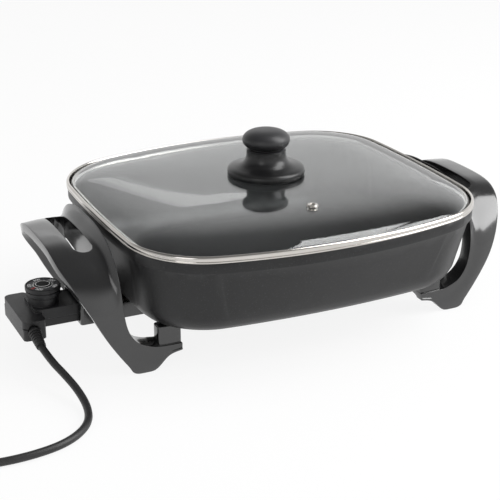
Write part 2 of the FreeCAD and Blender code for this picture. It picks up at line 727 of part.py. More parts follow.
def make_knob():
    flange_bottom = GLASS_TOP + " + 0.3"
    base = new_body("knob_base")
    # Flared flange that rests on the glass and rises into the neck
    revolve(base, "knob_flange", [
        ("knob_screw_radius + 0.3", flange_bottom, "0"),
        ("knob_flange_radius - 1", flange_bottom, "0"),
        ("knob_flange_radius", flange_bottom + " + 1", "0"),
        ("knob_flange_radius", flange_bottom + " + knob_flange_edge - 1", "0"),
        ("knob_flange_radius - 1.2", flange_bottom + " + knob_flange_edge", "0"),
        ("knob_flange_radius - 5", flange_bottom + " + knob_flange_edge + 1.6", "0"),
        ("knob_neck_radius + 4", flange_bottom + " + knob_flange_edge + 3.2", "14"),
        ("knob_neck_radius", flange_bottom + " + knob_flange_edge + 9", "0"),
        ("knob_neck_radius", flange_bottom + " + knob_neck_top", "0"),
        ("knob_screw_radius + 0.3", flange_bottom + " + knob_neck_top", "0"),
    ])
    cap = new_body("knob_cap")
    cap_bottom = flange_bottom + " + knob_neck_top"
    revolve(cap, "knob_grip", [
        ("0", cap_bottom + " + 8", "0"),
        ("knob_screw_radius + 0.2", cap_bottom + " + 8", "0"),
        ("knob_screw_radius + 0.2", cap_bottom, "0"),
        ("knob_neck_radius - 0.6", cap_bottom, "0"),
        ("knob_cap_radius - 1.5", cap_bottom + " + knob_cap_height * 0.22", "0"),
        ("knob_cap_radius", cap_bottom + " + knob_cap_height * 0.55", "10"),
        ("knob_cap_radius * 0.72", cap_bottom + " + knob_cap_height * 0.93", "14"),
        ("0", cap_bottom + " + knob_cap_height", "0"),
    ])
    washer = new_body("knob_washer")
    under = GLASS_TOP + " - glass_thickness"
    revolve(washer, "washer_disc", [
        ("knob_screw_radius + 0.3", under + " - 1.5 - knob_washer_thickness", "0"),
        ("knob_washer_radius", under + " - 1.5 - knob_washer_thickness", "0"),
        ("knob_washer_radius", under + " - 1.5", "0"),
        ("knob_screw_radius + 0.3", under + " - 1.5", "0"),
    ])
    gasket = new_body("knob_gasket")
    revolve(gasket, "gasket_disc", [
        ("knob_screw_radius + 0.3", under + " - 1.4", "0"),
        ("knob_washer_radius - 3", under + " - 1.4", "0"),
        ("knob_washer_radius - 3", under + " - 0.2", "0"),
        ("knob_screw_radius + 0.3", under + " - 0.2", "0"),
    ])
    screw = new_body("knob_screw")
    revolve(screw, "screw_turned", [
        ("0", under + " - 1.5 - knob_washer_thickness - 3", "0"),
        ("knob_screw_radius * 1.9", under + " - 1.5 - knob_washer_thickness - 3", "0.8"),
        ("knob_screw_radius * 1.9", under + " - 1.5 - knob_washer_thickness", "0"),
        ("knob_screw_radius", under + " - 1.5 - knob_washer_thickness", "0"),
        ("knob_screw_radius", cap_bottom + " + 7", "0"),
        ("0", cap_bottom + " + 7", "0"),
    ])


def t_outline(body, name, level, inset="0"):
    """Plan of the control: a cross wing with a nose that points at the pan."""
    sketch = new_sketch(body, name, "XY_Plane", level)
    draw(sketch, [
        ("-control_reach + (%s)" % inset, "-wing_half + (%s)" % inset, "wing_corner - (%s)" % inset),
        ("-wing_inner - (%s)" % inset, "-wing_half + (%s)" % inset, "wing_corner * 0.6 - (%s) * 0.5" % inset),
        ("-wing_inner - (%s)" % inset, "-nose_half + (%s)" % inset, "3 + (%s) * 0.5" % inset),
        ("-nose_tip - (%s)" % inset, "-nose_half + (%s)" % inset, "2"),
        ("-nose_tip - (%s)" % inset, "nose_half - (%s)" % inset, "2"),
        ("-wing_inner - (%s)" % inset, "nose_half - (%s)" % inset, "3 + (%s) * 0.5" % inset),
        ("-wing_inner - (%s)" % inset, "wing_half - (%s)" % inset, "wing_corner * 0.6 - (%s) * 0.5" % inset),
        ("-control_reach + (%s)" % inset, "wing_half - (%s)" % inset, "wing_corner - (%s)" % inset),
    ])
    return sketch


def wing_outline(body, name, level):
    sketch = new_sketch(body, name, "XY_Plane", level)
    draw_box(sketch, "-control_reach", "-wing_inner", "-wing_half", "wing_half", "wing_corner * 0.6")
    return sketch


SCREW_SPOTS = [("-wing_inner - 4", "wing_half - 14"), ("-wing_inner - 4", "-wing_half + 14")]


def make_control():
    contact_level = "pan_bottom - seat_gap - element_radius"
    lower = new_body("control_lower")
    pad(lower, "lower_wing", wing_outline(lower, "lower_wing_outline", "wing_bottom"), "housing_split - wing_bottom")
    pad(lower, "lower_nose", t_outline(lower, "lower_plan", "nose_bottom"), "housing_split - nose_bottom")
    doc.recompute()
    pocket(lower, "lower_hollow", t_outline(lower, "lower_inner", "nose_bottom + housing_wall", "housing_wall"),
           "housing_split", reverse=True)
    upper = new_body("control_upper")
    pad(upper, "upper_plan_pad", t_outline(upper, "upper_plan", "housing_split"), "wing_top - housing_split")
    crest = new_sketch(upper, "upper_nose_outline", "XY_Plane", "wing_top - 2")
    draw_box(crest, "-wing_inner - 6", "-nose_tip", "-nose_half", "nose_half", "2")
    pad(upper, "upper_nose", crest, "nose_top - wing_top + 2")
    turret = new_sketch(upper, "turret_outline", "XY_Plane", "wing_top - 2")
    draw_circle(turret, "-dial_reach", "0", "turret_radius")
    pad(upper, "turret", turret, "dial_top - dial_height - 0.4 - wing_top + 2")
    doc.recompute()
    pocket(upper, "upper_hollow", t_outline(upper, "upper_inner", "housing_split - 1", "housing_wall"),
           "wing_top - housing_wall - housing_split + 1", reverse=True)
    bore = new_sketch(upper, "turret_bore", "XY_Plane", "housing_split")
    draw_circle(bore, "-dial_reach", "0", "spindle_radius + 0.08")
    pocket(upper, "turret_bore_cut", bore, "40", reverse=True)
    for half, body in (("lower", lower), ("upper", upper)):
        mouth = new_sketch(body, half + "_contact_holes", "YZ_Plane", "-nose_tip - housing_wall - 1")
        for sy in ("", "-"):
            draw_circle(mouth, sy + "terminal_half", contact_level, "receptacle_radius + 0.1")
        draw_circle(mouth, "0", "pan_bottom - seat_gap - well_radius", "rod_radius + 0.1")
        pocket(body, half + "_mouth_cut", mouth, "housing_wall + 3", reverse=True)
        gland = new_sketch(body, half + "_gland_outline", "XZ_Plane", "wing_half")
        draw_circle(gland, "-" + RELIEF_REACH, "relief_level", "relief_radius * 0.8 + 1")
        pocket(body, half + "_gland", gland, "housing_wall * 3", centred=True)
    # Housing screws from below
    screws = []
    for i, (x, y) in enumerate(SCREW_SPOTS):
        level = "nose_bottom + housing_wall + 0.3"
        post = cylinder("housing_screw_stem_%d" % i, "1.4", "wing_top - housing_wall - 0.3 - (%s)" % level, x, y, level)
        screws.append(post)
    group("housing_screws", screws)
    # Stainless sensing rod
    rod = cylinder("rod_solid", "rod_radius", "dial_reach - 12 - rod_tip", "-(dial_reach - 12)", "0",
                   "pan_bottom - seat_gap - well_radius", "X")
    end = doc.addObject("Part::Fillet", "sensing_rod")
    end.Base = rod
    doc.recompute()
    tip = max(range(len(rod.Shape.Edges)), key=lambda i: rod.Shape.Edges[i].BoundBox.XMin)
    end.Edges = [(tip + 1, number("rod_radius * 0.7"), number("rod_radius * 0.7"))]
    pieces["sensing_rod"] = end
    # Spring sockets that grip the pins
    sockets = []
    for side, sign in (("rear", ""), ("front", "-")):
        where = (sign + "terminal_half", contact_level, "X")
        outer = cylinder("receptacle_%s_outer" % side, "receptacle_radius", "26", "-nose_tip - 26", *where)
        inner = cylinder("receptacle_%s_inner" % side, "terminal_radius + 0.08", "24", "-nose_tip - 23", *where)
        sockets.append(cut("receptacle_" + side, outer, inner))
    group("contact_receptacles", sockets)


def make_dial():
    base = "dial_top - dial_height"
    knob = new_body("dial_knob")
    bind(knob, "Placement.Base.x", PAN_X + " - dial_reach")
    # Cup-shaped knob with two grip ridges and a raised middle
    revolve(knob, "dial_turned", [
        ("0", base, "0"),
        ("dial_radius - 1.6", base, "0.5"),
        ("dial_radius - 1.6", base + " + 1.6", "0"),
        ("dial_radius - 0.6", base + " + 1.6", "0"),
        ("dial_radius - 0.6", base + " + dial_height * 0.5", "0"),
        ("dial_radius - 1.6", base + " + dial_height * 0.5", "0"),
        ("dial_radius - 1.6", base + " + dial_height * 0.6", "0"),
        ("dial_radius", base + " + dial_height * 0.6", "0"),
        ("dial_radius", "dial_top - 0.7", "0"),
        ("dial_radius - 0.7", "dial_top", "0"),
        ("dial_radius - 2", "dial_top", "0"),
        ("dial_radius - 2", "dial_top - 1.2", "0"),
        ("0", "dial_top - 1.2", "0"),
    ])
    plate = new_body("dial_plate")
    bind(plate, "Placement.Base.x", PAN_X + " - dial_reach")
    revolve(plate, "plate_turned", [
        ("dial_radius * 0.5", "dial_top - 1.2", "0"),
        ("dial_radius - 2.1", "dial_top - 1.2", "0"),
        ("dial_radius - 2.1", "dial_top - 0.5", "0"),
        ("dial_radius * 0.5", "dial_top - 0.5", "0"),
    ])
    cap = new_body("dial_cap")
    bind(cap, "Placement.Base.x", PAN_X + " - dial_reach")
    revolve(cap, "cap_turned", [
        ("0", "dial_top - 1.2", "0"),
        ("dial_radius * 0.5 - 0.1", "dial_top - 1.2", "0"),
        ("dial_radius * 0.5 - 0.1", "dial_top + 0.1", "0"),
        ("dial_radius * 0.5 - 0.6", "dial_top + 0.4", "0"),
        ("0", "dial_top + 0.4", "0"),
    ])
    cylinder_top = base
    spindle = cylinder("dial_spindle", "spindle_radius", cylinder_top + " - (wing_top - 5)", "-dial_reach", "0", "wing_top - 5")
    pieces["dial_spindle"] = spindle


def make_switch():
    """Thermostat parts inside the control."""
    floor = "nose_bottom + housing_wall + 0.2"
    pieces["thermostat_base"] = box("thermostat_base", "-dial_reach - 8", "-13", floor, "16", "26", "2")
    pieces["bimetal_blade"] = box("bimetal_blade", "-dial_reach - 6", "-4", floor + " + 2.1", "46", "8", "0.8")
    pieces["switch_arm"] = box("switch_arm", "-dial_reach - 7", "-3", floor + " + 3.2", "14", "6", "0.6")
    cam_bottom = floor + " + 4.2"
    pieces["dial_cam"] = cylinder("dial_cam", "spindle_radius * 1.7", "wing_top - 5 - (%s)" % cam_bottom,
                                  "-dial_reach", "0", cam_bottom)
    blocks = [box("supply_terminal_" + side, "-" + RELIEF_REACH + " - 4", y, floor, "8", "9", "5")
              for side, y in (("rear", "10"), ("front", "-19"))]
    group("supply_terminals", blocks)


def make_relief():
    """Ribbed boot that guides the cord out of the control."""
    body = new_body("strain_relief")
    body.Placement.Rotation = FreeCAD.Rotation(Vector(1, 0, 0), 90)
    bind(body, "Placement.Base.x", PAN_X + " - " + RELIEF_REACH)
    bind(body, "Placement.Base.y", "-wing_half")
    bind(body, "Placement.Base.z", "relief_level")
    bind(body, "Placement.Rotation.Angle", "90 + relief_dip")
    neck = "relief_radius * 0.8"
    corners = [("0", "-8", "0"), (neck, "-8", "0"), (neck, "2", "0"), ("relief_radius + 0.6", "2", "0"),
               ("relief_radius + 0.6", "3.9", "0"), ("relief_radius", "4.5", "0")]
    ribs = 5
    for i in range(ribs):
        low = "4.5 + (relief_length - 6.5) * %d / %d" % (i, ribs)
        taper = "relief_radius * (1 - 0.04 * %d)" % i
        corners += [(neck, low, "0"), (neck, low + " + 1.2", "0"), (taper, low + " + 1.4", "0"),
                    (taper, low + " + (relief_length - 6.5) / %d" % ribs, "0")]
    corners += [(neck, "relief_length - 2", "0"), (neck, "relief_length", "0"), ("0", "relief_length", "0")]
    revolve(body, "relief_turned", corners)


def unit(vector):
    return Vector(vector).normalize()


def tangent_arc(start, direction, end):
    """The arc that leaves a point in a direction and ends at another point, as an edge and its end direction."""
    chord = end - start
    along = chord.normalize()
    turn = along.getAngle(direction)
    length = (end - start).Length
    side = direction - along * direction.dot(along)
    if side.Length < 1e-9:
        return Part.LineSegment(start, end).toShape(), direction
    rise = math.tan(turn / 2) * length / 2
    middle = (start + end) / 2 + side.normalize() * rise
    leaving = along * 2 * math.cos(turn) - direction
    return Part.Arc(start, middle, end).toShape(), leaving


def biarc(start, start_way, end, end_way):
    """Two arcs that join two points with a given direction at each."""
    across = end - start
    ways = start_way + end_way
    spread = 2 * (1 - start_way.dot(end_way))
    reach = across.dot(ways)
    pull = (math.sqrt(reach * reach + spread * across.dot(across)) - reach) / spread
    joint = (start + start_way * pull + end - end_way * pull) / 2
    first, way = tangent_arc(start, start_way, joint)
    second, _ = tangent_arc(joint, way, end)
    return [first, second]


def tube(label, edges, start_way, radius):
    """A round tube along joined edges."""
    path = Part.Wire(edges)
    start = edges[0].valueAt(edges[0].FirstParameter)
    section = Part.Wire(Part.makeCircle(radius, start, start_way))
    solid = path.makePipeShell([section], True, False)
    expected = math.pi * radius ** 2 * path.Length
    print(label, "length %.1f, volume over section times length %.4f" % (path.Length, solid.Volume / expected))
    piece = doc.addObject("Part::Feature", label)
    piece.Label = label
    piece.Shape = solid
    piece.Placement = FreeCAD.Placement(Vector(number(PAN_X), 0, 0), FreeCAD.Rotation())
    pieces[label] = piece
    return path.Length


def run_edges(points):
    """Straight runs joined by arcs as large as the runs allow."""
    edges = []
    here = points[0]
    for before, corner, after in zip(points, points[1:], points[2:]):
        back = unit(before - corner)
        ahead = unit(after - corner)
        turn = math.pi - back.getAngle(ahead)
        setback = 0.45 * min((before - corner).Length, (after - corner).Length)
        radius = setback / math.tan(turn / 2)
        print("cord turn %.0f degrees, radius %.0f" % (math.degrees(turn), radius))
        enter = corner + back * setback
        edges.append(Part.LineSegment(here, enter).toShape())
        arc, _ = tangent_arc(enter, back * -1, corner + ahead * setback)
        edges.append(arc)
        here = corner + ahead * setback
    edges.append(Part.LineSegment(here, points[-1]).toShape())
    return edges


def make_cord():
    radius = number("cord_radius")
    dip = math.radians(number("relief_dip"))
    leave = Vector(0, -math.cos(dip), -math.sin(dip))
    gate = Vector(-number(RELIEF_REACH), -number("wing_half"), number("relief_level"))
    start = gate + leave * number("relief_length")
    level = number("cord_radius + coil_lift")
    middle = Vector(-number("coil_reach"), -number("coil_forward"), level)
    turns = number("coil_turns")
    pitch = number("coil_pitch")
    widest = number("coil_radius")
    layer = number("coil_layer")
    lead = number("cord_radius * 2")

    def spot(u):
        """Place and direction on the coil after u turns: in, up a layer, and out again."""
        half = turns / 2
        shrink = pitch * (half - abs(u - half))
        slope = 0.0 if u in (0, half, turns) else (-pitch if u < half else pitch)
        share = min(max((u - half + 0.25) / 0.5, 0.0), 1.0)
        height = layer * share * share * (3 - 2 * share)
        climb = layer * 6 * share * (1 - share) / 0.5
        angle = -math.pi / 2 - 2 * math.pi * u
        ray = Vector(math.cos(angle), math.sin(angle), 0)
        circling = Vector(math.sin(angle), -math.cos(angle), 0)
        size = widest - shrink
        way = ray * slope + circling * (2 * math.pi * size) + Vector(0, 0, climb)
        return middle + ray * size + Vector(0, 0, height), unit(way)

    half = turns / 2
    inward = [(half - 0.25) * i / 3 for i in range(4)]
    stops = inward + [half] + [turns - u for u in inward[::-1]]
    spots = [spot(u) for u in stops]
    first, first_way = spots[0]
    last, last_way = spots[-1]
    # Route of the free stretch, chosen by hand from the control to the coil
    route = [start] + [Vector(x, y, z) for x, y, z in CORD_ROUTE] + [first - first_way * lead]
    free = tube("cord_run", run_edges(route), leave, radius)
    edges = [Part.LineSegment(first - first_way * lead, first).toShape()]
    for (a, way_a), (b, way_b) in zip(spots, spots[1:]):
        edges += biarc(a, way_a, b, way_b)
    tail = last + last_way * number("coil_tail")
    edges.append(Part.LineSegment(last, tail).toShape())
    wound = tube("cord_coil", edges, first_way, radius)
    print("cord length outside the control %.0f" % (free + wound))
    report_gap(edges, radius)
    make_plug(tail)


def report_gap(edges, radius):
    """Print the least gap between one turn of the coil and another, measured on points."""
    points = []
    travelled = 0.0
    for edge in edges:
        for i in range(12):
            share = edge.FirstParameter + (edge.LastParameter - edge.FirstParameter) * i / 12
            points.append((travelled + edge.Length * i / 12, edge.valueAt(share)))
        travelled += edge.Length
    gap = min((q - p).Length for s, p in points for r, q in points if r - s > 100)
    print("least gap of the coil to itself %.2f" % (gap - 2 * radius))


def make_plug(end):
    """Moulded two-blade plug that lies beside the coil, pointing along +Y."""
    body = new_body("plug_body")
    x = "(%.4f)" % end.x
    y = "(%.4f)" % end.y
    plan = new_sketch(body, "plug_outline", "XY_Plane", "0.2")
    draw(plan, [
        (x + " - 6", y, "0"),
        (x + " + 6", y, "0"),
        (x + " + 7", y + " + 14", "6"),
        (x + " + plug_half", y + " + 20", "5"),
        (x + " + plug_half", y + " + plug_length", "3"),
        (x + " - plug_half", y + " + plug_length", "3"),
        (x + " - plug_half", y + " + 20", "5"),
        (x + " - 7", y + " + 14", "6"),
    ])
    pad(body, "plug_moulding", plan, "2 * (%.4f - 0.2)" % end.z)
    blades = []
    for side, sign in (("left", "-"), ("right", "+")):
        blades.append(box("plug_blade_" + side, "%s %s 6.35 - 0.75" % (x, sign), y + " + plug_length",
                          "%.4f - 3.15" % end.z, "1.5", "17", "6.3"))
    group("plug_blades", blades)


make_pan()
make_heating_element()
make_socket()
make_handle("right_handle", 1)
make_handle("left_handle", -1)
make_handle_screws()
make_lid()
make_vent()
make_knob()
make_control()
make_dial()
make_switch()
make_relief()
make_cord()
doc.recompute()

faults = [o.Name for o in doc.Objects if "Invalid" in o.State or "Error" in o.State]
for label, piece in pieces.items():
    if piece.Shape.isNull() or not piece.Shape.isValid():
        faults.append(label + " shape")
if faults:
    raise RuntimeError("not built: " + ", ".join(faults))

os.makedirs("parts", exist_ok=True)
for label, piece in pieces.items():
    piece.Shape.exportStep("parts/%s.step" % label)
print(len(pieces), "pieces written")
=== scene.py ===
"""Electric skillet with a lift-off glass lid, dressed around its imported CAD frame."""
import json
import math

import bmesh
import bpy
from bpy.props import FloatProperty, FloatVectorProperty, IntProperty, PointerProperty
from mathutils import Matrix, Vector


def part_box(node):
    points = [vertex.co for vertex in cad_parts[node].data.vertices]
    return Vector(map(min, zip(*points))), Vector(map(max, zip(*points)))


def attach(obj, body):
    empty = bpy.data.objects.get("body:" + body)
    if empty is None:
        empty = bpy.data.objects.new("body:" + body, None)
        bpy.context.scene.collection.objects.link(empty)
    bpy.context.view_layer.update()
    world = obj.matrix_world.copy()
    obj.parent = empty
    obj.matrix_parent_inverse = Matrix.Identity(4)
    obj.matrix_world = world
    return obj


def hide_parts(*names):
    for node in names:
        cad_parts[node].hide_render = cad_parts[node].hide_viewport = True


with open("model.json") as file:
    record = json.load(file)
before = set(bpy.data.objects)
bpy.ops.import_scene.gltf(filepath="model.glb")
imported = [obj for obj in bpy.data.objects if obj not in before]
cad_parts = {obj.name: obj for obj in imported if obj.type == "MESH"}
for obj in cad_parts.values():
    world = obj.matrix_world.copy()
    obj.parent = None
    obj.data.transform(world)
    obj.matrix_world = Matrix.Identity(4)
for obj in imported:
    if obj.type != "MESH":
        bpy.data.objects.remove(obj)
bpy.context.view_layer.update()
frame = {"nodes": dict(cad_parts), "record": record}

bl_info = {
    "name": "Electric skillet",
    "version": (1, 0, 0),
    "blender": (4, 5, 0),
    "location": "View3D > Sidebar > Skillet",
    "description": "Dresses the skillet's frame with its finishes, cord, dial marks and stage",
    "category": "Object",
}

RIM_LOW, RIM_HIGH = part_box("lid_rim")
MIDDLE_X = (RIM_LOW.x + RIM_HIGH.x) / 2
DIAL_LOW, DIAL_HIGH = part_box("dial_knob")
DIAL_X = (DIAL_LOW.x + DIAL_HIGH.x) / 2
MM = 0.001

# Free stretch of the cord in millimetres from the middle of the pan, from the boot to the coil
CORD_ROUTE = [
    (-272.0, -61.07, 31.38),
    (-269.0, -84.0, 25.2),
    (-262.8, -104.0, 19.2),
    (-257.3, -126.0, 12.2),
    (-256.0, -149.5, 6.2),
    (-262.0, -172.5, 4.15),
    (-276.5, -191.0, 4.1),
    (-297.0, -203.5, 4.1),
    (-322.0, -209.0, 4.1),
    (-347.0, -210.0, 4.1),
    (-371.0, -207.0, 4.05),
    (-394.5, -207.0, 4.05),
]
# The coil: its middle, its outer radius, its turns, how far each turn lies inside the last, how high its second
# layer lies, and in how many turns the cord climbs to it
COIL_MIDDLE = (-402.0, -160.0)
COIL_RADIUS = 47.0
COIL_TURNS = 2.25
COIL_PITCH = 8.3
COIL_LAYER = 8.2
COIL_CLIMB = 0.5
COIL_POINTS_PER_TURN = 16
PLUG_OVERLAP = 0.5


# Shared values --------------------------------------------------------------------------------


class SkilletSizes(bpy.types.PropertyGroup):
    cord_diameter: FloatProperty(
        name="Cord diameter", description="Outside diameter of the mains cord",
        default=0.0075, min=0.004, max=0.012, unit="LENGTH")
    cord_length: FloatProperty(
        name="Cord length", description="Length of the cord from the boot to the plug",
        default=0.9, min=0.3, max=3.0, unit="LENGTH")
    edge_softness: FloatProperty(
        name="Edge softness", description="Radius of the softened edges of moulded pieces",
        default=0.0009, min=0.0001, max=0.003, unit="LENGTH")
    dial_ticks: IntProperty(
        name="Dial marks", description="Number of short marks round the dial", default=17, min=5, max=40)
    lens: FloatProperty(
        name="Lens", description="Focal length of the camera in millimetres", default=92.5, min=20, max=300)


COLOUR = {"subtype": "COLOR", "size": 3, "min": 0, "max": 1}


class SkilletColours(bpy.types.PropertyGroup):
    coating: FloatVectorProperty(
        name="Pan coating", description="Colour of the pan's dark coating",
        default=(0.0115, 0.0115, 0.012), **COLOUR)
    moulding: FloatVectorProperty(
        name="Handles", description="Colour of the handles and the knob's base",
        default=(0.009, 0.009, 0.0095), **COLOUR)
    housing: FloatVectorProperty(
        name="Heat control", description="Colour of the heat control's housing",
        default=(0.013, 0.013, 0.014), **COLOUR)
    jacket: FloatVectorProperty(
        name="Cord jacket", description="Colour of the cord, its boot and its plug",
        default=(0.018, 0.018, 0.0185), **COLOUR)
    knob: FloatVectorProperty(
        name="Knob cap", description="Colour of the lid knob's cap",
        default=(0.022, 0.022, 0.024), **COLOUR)
    marks: FloatVectorProperty(
        name="Dial marks", description="Colour of the printed marks",
        default=(0.85, 0.85, 0.85), **COLOUR)
    floor: FloatVectorProperty(
        name="Floor", description="Colour of the floor",
        default=(0.9, 0.9, 0.9), **COLOUR)


# Node groups ----------------------------------------------------------------------------------


def feed(socket, value):
    """Give a socket a plain value, or link another socket to it."""
    if isinstance(value, bpy.types.NodeSocket):
        socket.id_data.links.new(value, socket)
    else:
        socket.default_value = value


def fill(node, **values):
    """Feed a node's sockets by name, and return the node."""
    for name, value in values.items():
        feed(node.inputs[name.replace("_", " ")], value)
    return node


def tree_of(*values):
    """The node tree of the first socket among some values."""
    return next(value.id_data for value in values if isinstance(value, bpy.types.NodeSocket))


def math_node(operation, first, second, clamp=False):
    """The result of a maths node over two sockets or numbers."""
    node = tree_of(first, second).nodes.new("ShaderNodeMath")
    node.operation = operation
    node.use_clamp = clamp
    feed(node.inputs[0], first)
    feed(node.inputs[1], second)
    return node.outputs[0]


def noise_node(place, scale, detail, roughness=0.5):
    """Noise over a place."""
    node = place.id_data.nodes.new("ShaderNodeTexNoise")
    return fill(node, Vector=place, Scale=scale, Detail=detail, Roughness=roughness).outputs["Fac"]


def mix_colour(share, first, second, blend="MIX"):
    """A share of one colour laid over another."""
    node = tree_of(share, first, second).nodes.new("ShaderNodeMix")
    node.data_type = "RGBA"
    node.blend_type = blend
    return fill(node, Factor=share, A=first, B=second).outputs["Result"]


def bumped(height, distance, strength, normal):
    """A normal bumped by a height."""
    node = height.id_data.nodes.new("ShaderNodeBump")
    return fill(node, Height=height, Distance=distance, Strength=strength, Normal=normal).outputs["Normal"]


def mix_surface(share, first, second):
    """Set a mix of two shaders as their material's surface."""
    tree = share.id_data
    mixed = fill(tree.nodes.new("ShaderNodeMixShader"), Fac=share)
    feed(mixed.inputs[1], first.outputs[0])
    feed(mixed.inputs[2], second.outputs[0])
    fill(tree.nodes["Material Output"], Surface=mixed.outputs["Shader"])


def new_group(name, inputs, outputs):
    """A shader node group with named sockets, its given values, its output node and the place on the object."""
    group = bpy.data.node_groups.new(name, "ShaderNodeTree")
    for socket, kind, value in inputs:
        item = group.interface.new_socket(socket, in_out="INPUT", socket_type="NodeSocket" + kind)
        item.default_value = value
    for socket, kind in outputs:
        group.interface.new_socket(socket, in_out="OUTPUT", socket_type="NodeSocket" + kind)
    given = group.nodes.new("NodeGroupInput").outputs
    place = group.nodes.new("ShaderNodeTexCoord").outputs["Object"]
    return group, given, group.nodes.new("NodeGroupOutput"), place


def grain_group():
    """Moulded grain: patches and smears in the tone and the sheen, light flecks, and a fine height."""
    _, given, out, place = new_group(
        "moulded grain",
        [("Colour", "Color", (0.5, 0.5, 0.5, 1)), ("Variation", "Float", 0.15), ("Grain Scale", "Float", 2500.0),
         ("Patch Scale", "Float", 14.0), ("Roughness", "Float", 0.4), ("Roughness Range", "Float", 0.1),
         ("Flecks", "Float", 0.0)],
        [("Colour", "Color"), ("Roughness", "Float"), ("Height", "Float")])
    patches = math_node("SUBTRACT", noise_node(place, given["Patch Scale"], 4.0, 0.6), 0.5)
    smears = noise_node(place, math_node("MULTIPLY", given["Patch Scale"], 5.0), 6.0, 0.7)
    lighter = math_node("MULTIPLY", math_node("MULTIPLY", patches, given["Variation"]), 2.0)
    grey = mix_colour(math_node("ADD", lighter, 0.5, True), (0, 0, 0, 1), (1, 1, 1, 1))
    tone = mix_colour(1.0, given["Colour"], grey, "SOFT_LIGHT")
    specks = math_node("MULTIPLY", math_node("SUBTRACT", noise_node(place, 700.0, 1.0), 0.62), 9.0, True)
    flecked = mix_colour(math_node("MULTIPLY", specks, given["Flecks"], True), tone, (0.35, 0.36, 0.38, 1))
    uneven = math_node("ADD", patches, math_node("MULTIPLY", math_node("SUBTRACT", smears, 0.5), 0.7))
    rough = math_node("ADD", given["Roughness"], math_node("MULTIPLY", uneven, given["Roughness Range"]), True)
    fill(out, Colour=flecked, Roughness=rough, Height=noise_node(place, given["Grain Scale"], 2.0))


def edges_group():
    """Rubbed edges: a broken mask where the surface turns sharply, and a rounded normal."""
    group, given, out, place = new_group(
        "rubbed edges", [("Radius", "Float", 0.001), ("Gain", "Float", 4.0)],
        [("Mask", "Float"), ("Normal", "Vector")])
    soft = fill(group.nodes.new("ShaderNodeBevel"), Radius=given["Radius"])
    soft.samples = 6
    turned = group.nodes.new("ShaderNodeVectorMath")
    turned.operation = "DOT_PRODUCT"
    feed(turned.inputs[0], soft.outputs["Normal"])
    feed(turned.inputs[1], group.nodes.new("ShaderNodeNewGeometry").outputs["Normal"])
    bare = math_node("MULTIPLY", math_node("SUBTRACT", 1.0, turned.outputs["Value"]), given["Gain"], True)
    fill(out, Mask=math_node("MULTIPLY", bare, noise_node(place, 180.0, 5.0, 0.7), True),
         Normal=soft.outputs["Normal"])


def drawn_group():
    """Drawn metal: fine lines in the sheen and the height, and stains."""
    group, given, out, place = new_group(
        "drawn metal",
        [("Stretch", "Vector", (1.0, 1.0, 40.0)), ("Scale", "Float", 60.0), ("Roughness", "Float", 0.2),
         ("Roughness Range", "Float", 0.1)],
        [("Roughness", "Float"), ("Height", "Float"), ("Mask", "Float")])
    along = group.nodes.new("ShaderNodeVectorMath")
    along.operation = "MULTIPLY"
    feed(along.inputs[0], place)
    feed(along.inputs[1], given["Stretch"])
    lines = noise_node(along.outputs[0], given["Scale"], 3.0)
    uneven = math_node("MULTIPLY", math_node("SUBTRACT", lines, 0.5), given["Roughness Range"])
    fill(out, Roughness=math_node("ADD", given["Roughness"], uneven, True), Height=lines,
         Mask=noise_node(place, 35.0, 5.0, 0.65))


# Materials ------------------------------------------------------------------------------------


def new_material(name):
    """A material with its Principled shader."""
    material = bpy.data.materials.new(name)
    material.use_nodes = True
    return material, material.node_tree, material.node_tree.nodes["Principled BSDF"]


def placed(tree, name, **values):
    """The outputs of a shared node group that is set in a material with its own values."""
    node = tree.nodes.new("ShaderNodeGroup")
    node.node_tree = bpy.data.node_groups[name]
    return fill(node, **values).outputs


def moulded(name, colour, roughness, spread=0.1, variation=0.2, grain=2500.0, patch=14.0, bump=0.00003,
            edge=0.0008, worn=(0.16, 0.16, 0.16, 1), gain=2.0, specular=0.5, coat=0.0, coat_roughness=0.1,
            flecks=0.0):
    """Moulded or coated surface: grain, uneven sheen and rubbed edges."""
    material, tree, shader = new_material(name)
    grained = placed(tree, "moulded grain", Colour=(*colour, 1), Variation=variation, Grain_Scale=grain,
                     Patch_Scale=patch, Roughness=roughness, Roughness_Range=spread, Flecks=flecks)
    edges = placed(tree, "rubbed edges", Radius=edge, Gain=gain)
    fill(shader, Base_Color=mix_colour(edges["Mask"], grained["Colour"], worn), Roughness=grained["Roughness"],
         Normal=bumped(grained["Height"], bump, 0.6, edges["Normal"]), Specular_IOR_Level=specular,
         Coat_Weight=coat, Coat_Roughness=coat_roughness)
    return material


def metal(name, colour, stain, roughness, spread, stretch, scale=60.0, bump=0.00001, edge=0.0004):
    """Bare or plated metal with drawn lines, stains and soft edges."""
    material, tree, shader = new_material(name)
    drawn = placed(tree, "drawn metal", Stretch=stretch, Scale=scale, Roughness=roughness, Roughness_Range=spread)
    edges = placed(tree, "rubbed edges", Radius=edge, Gain=1.0)
    fill(shader, Base_Color=mix_colour(drawn["Mask"], (*colour, 1), (*stain, 1)), Roughness=drawn["Roughness"],
         Normal=bumped(drawn["Height"], bump, 0.5, edges["Normal"]), Metallic=1.0)
    return material


def printed(name, colour, roughness):
    """Slightly uneven ink on the dial."""
    material, tree, shader = new_material(name)
    ink = placed(tree, "moulded grain", Colour=(*colour, 1), Variation=0.2, Grain_Scale=3000.0, Patch_Scale=120.0,
                 Roughness=roughness, Roughness_Range=0.1)
    fill(shader, Base_Color=ink["Colour"], Roughness=ink["Roughness"])
    return material


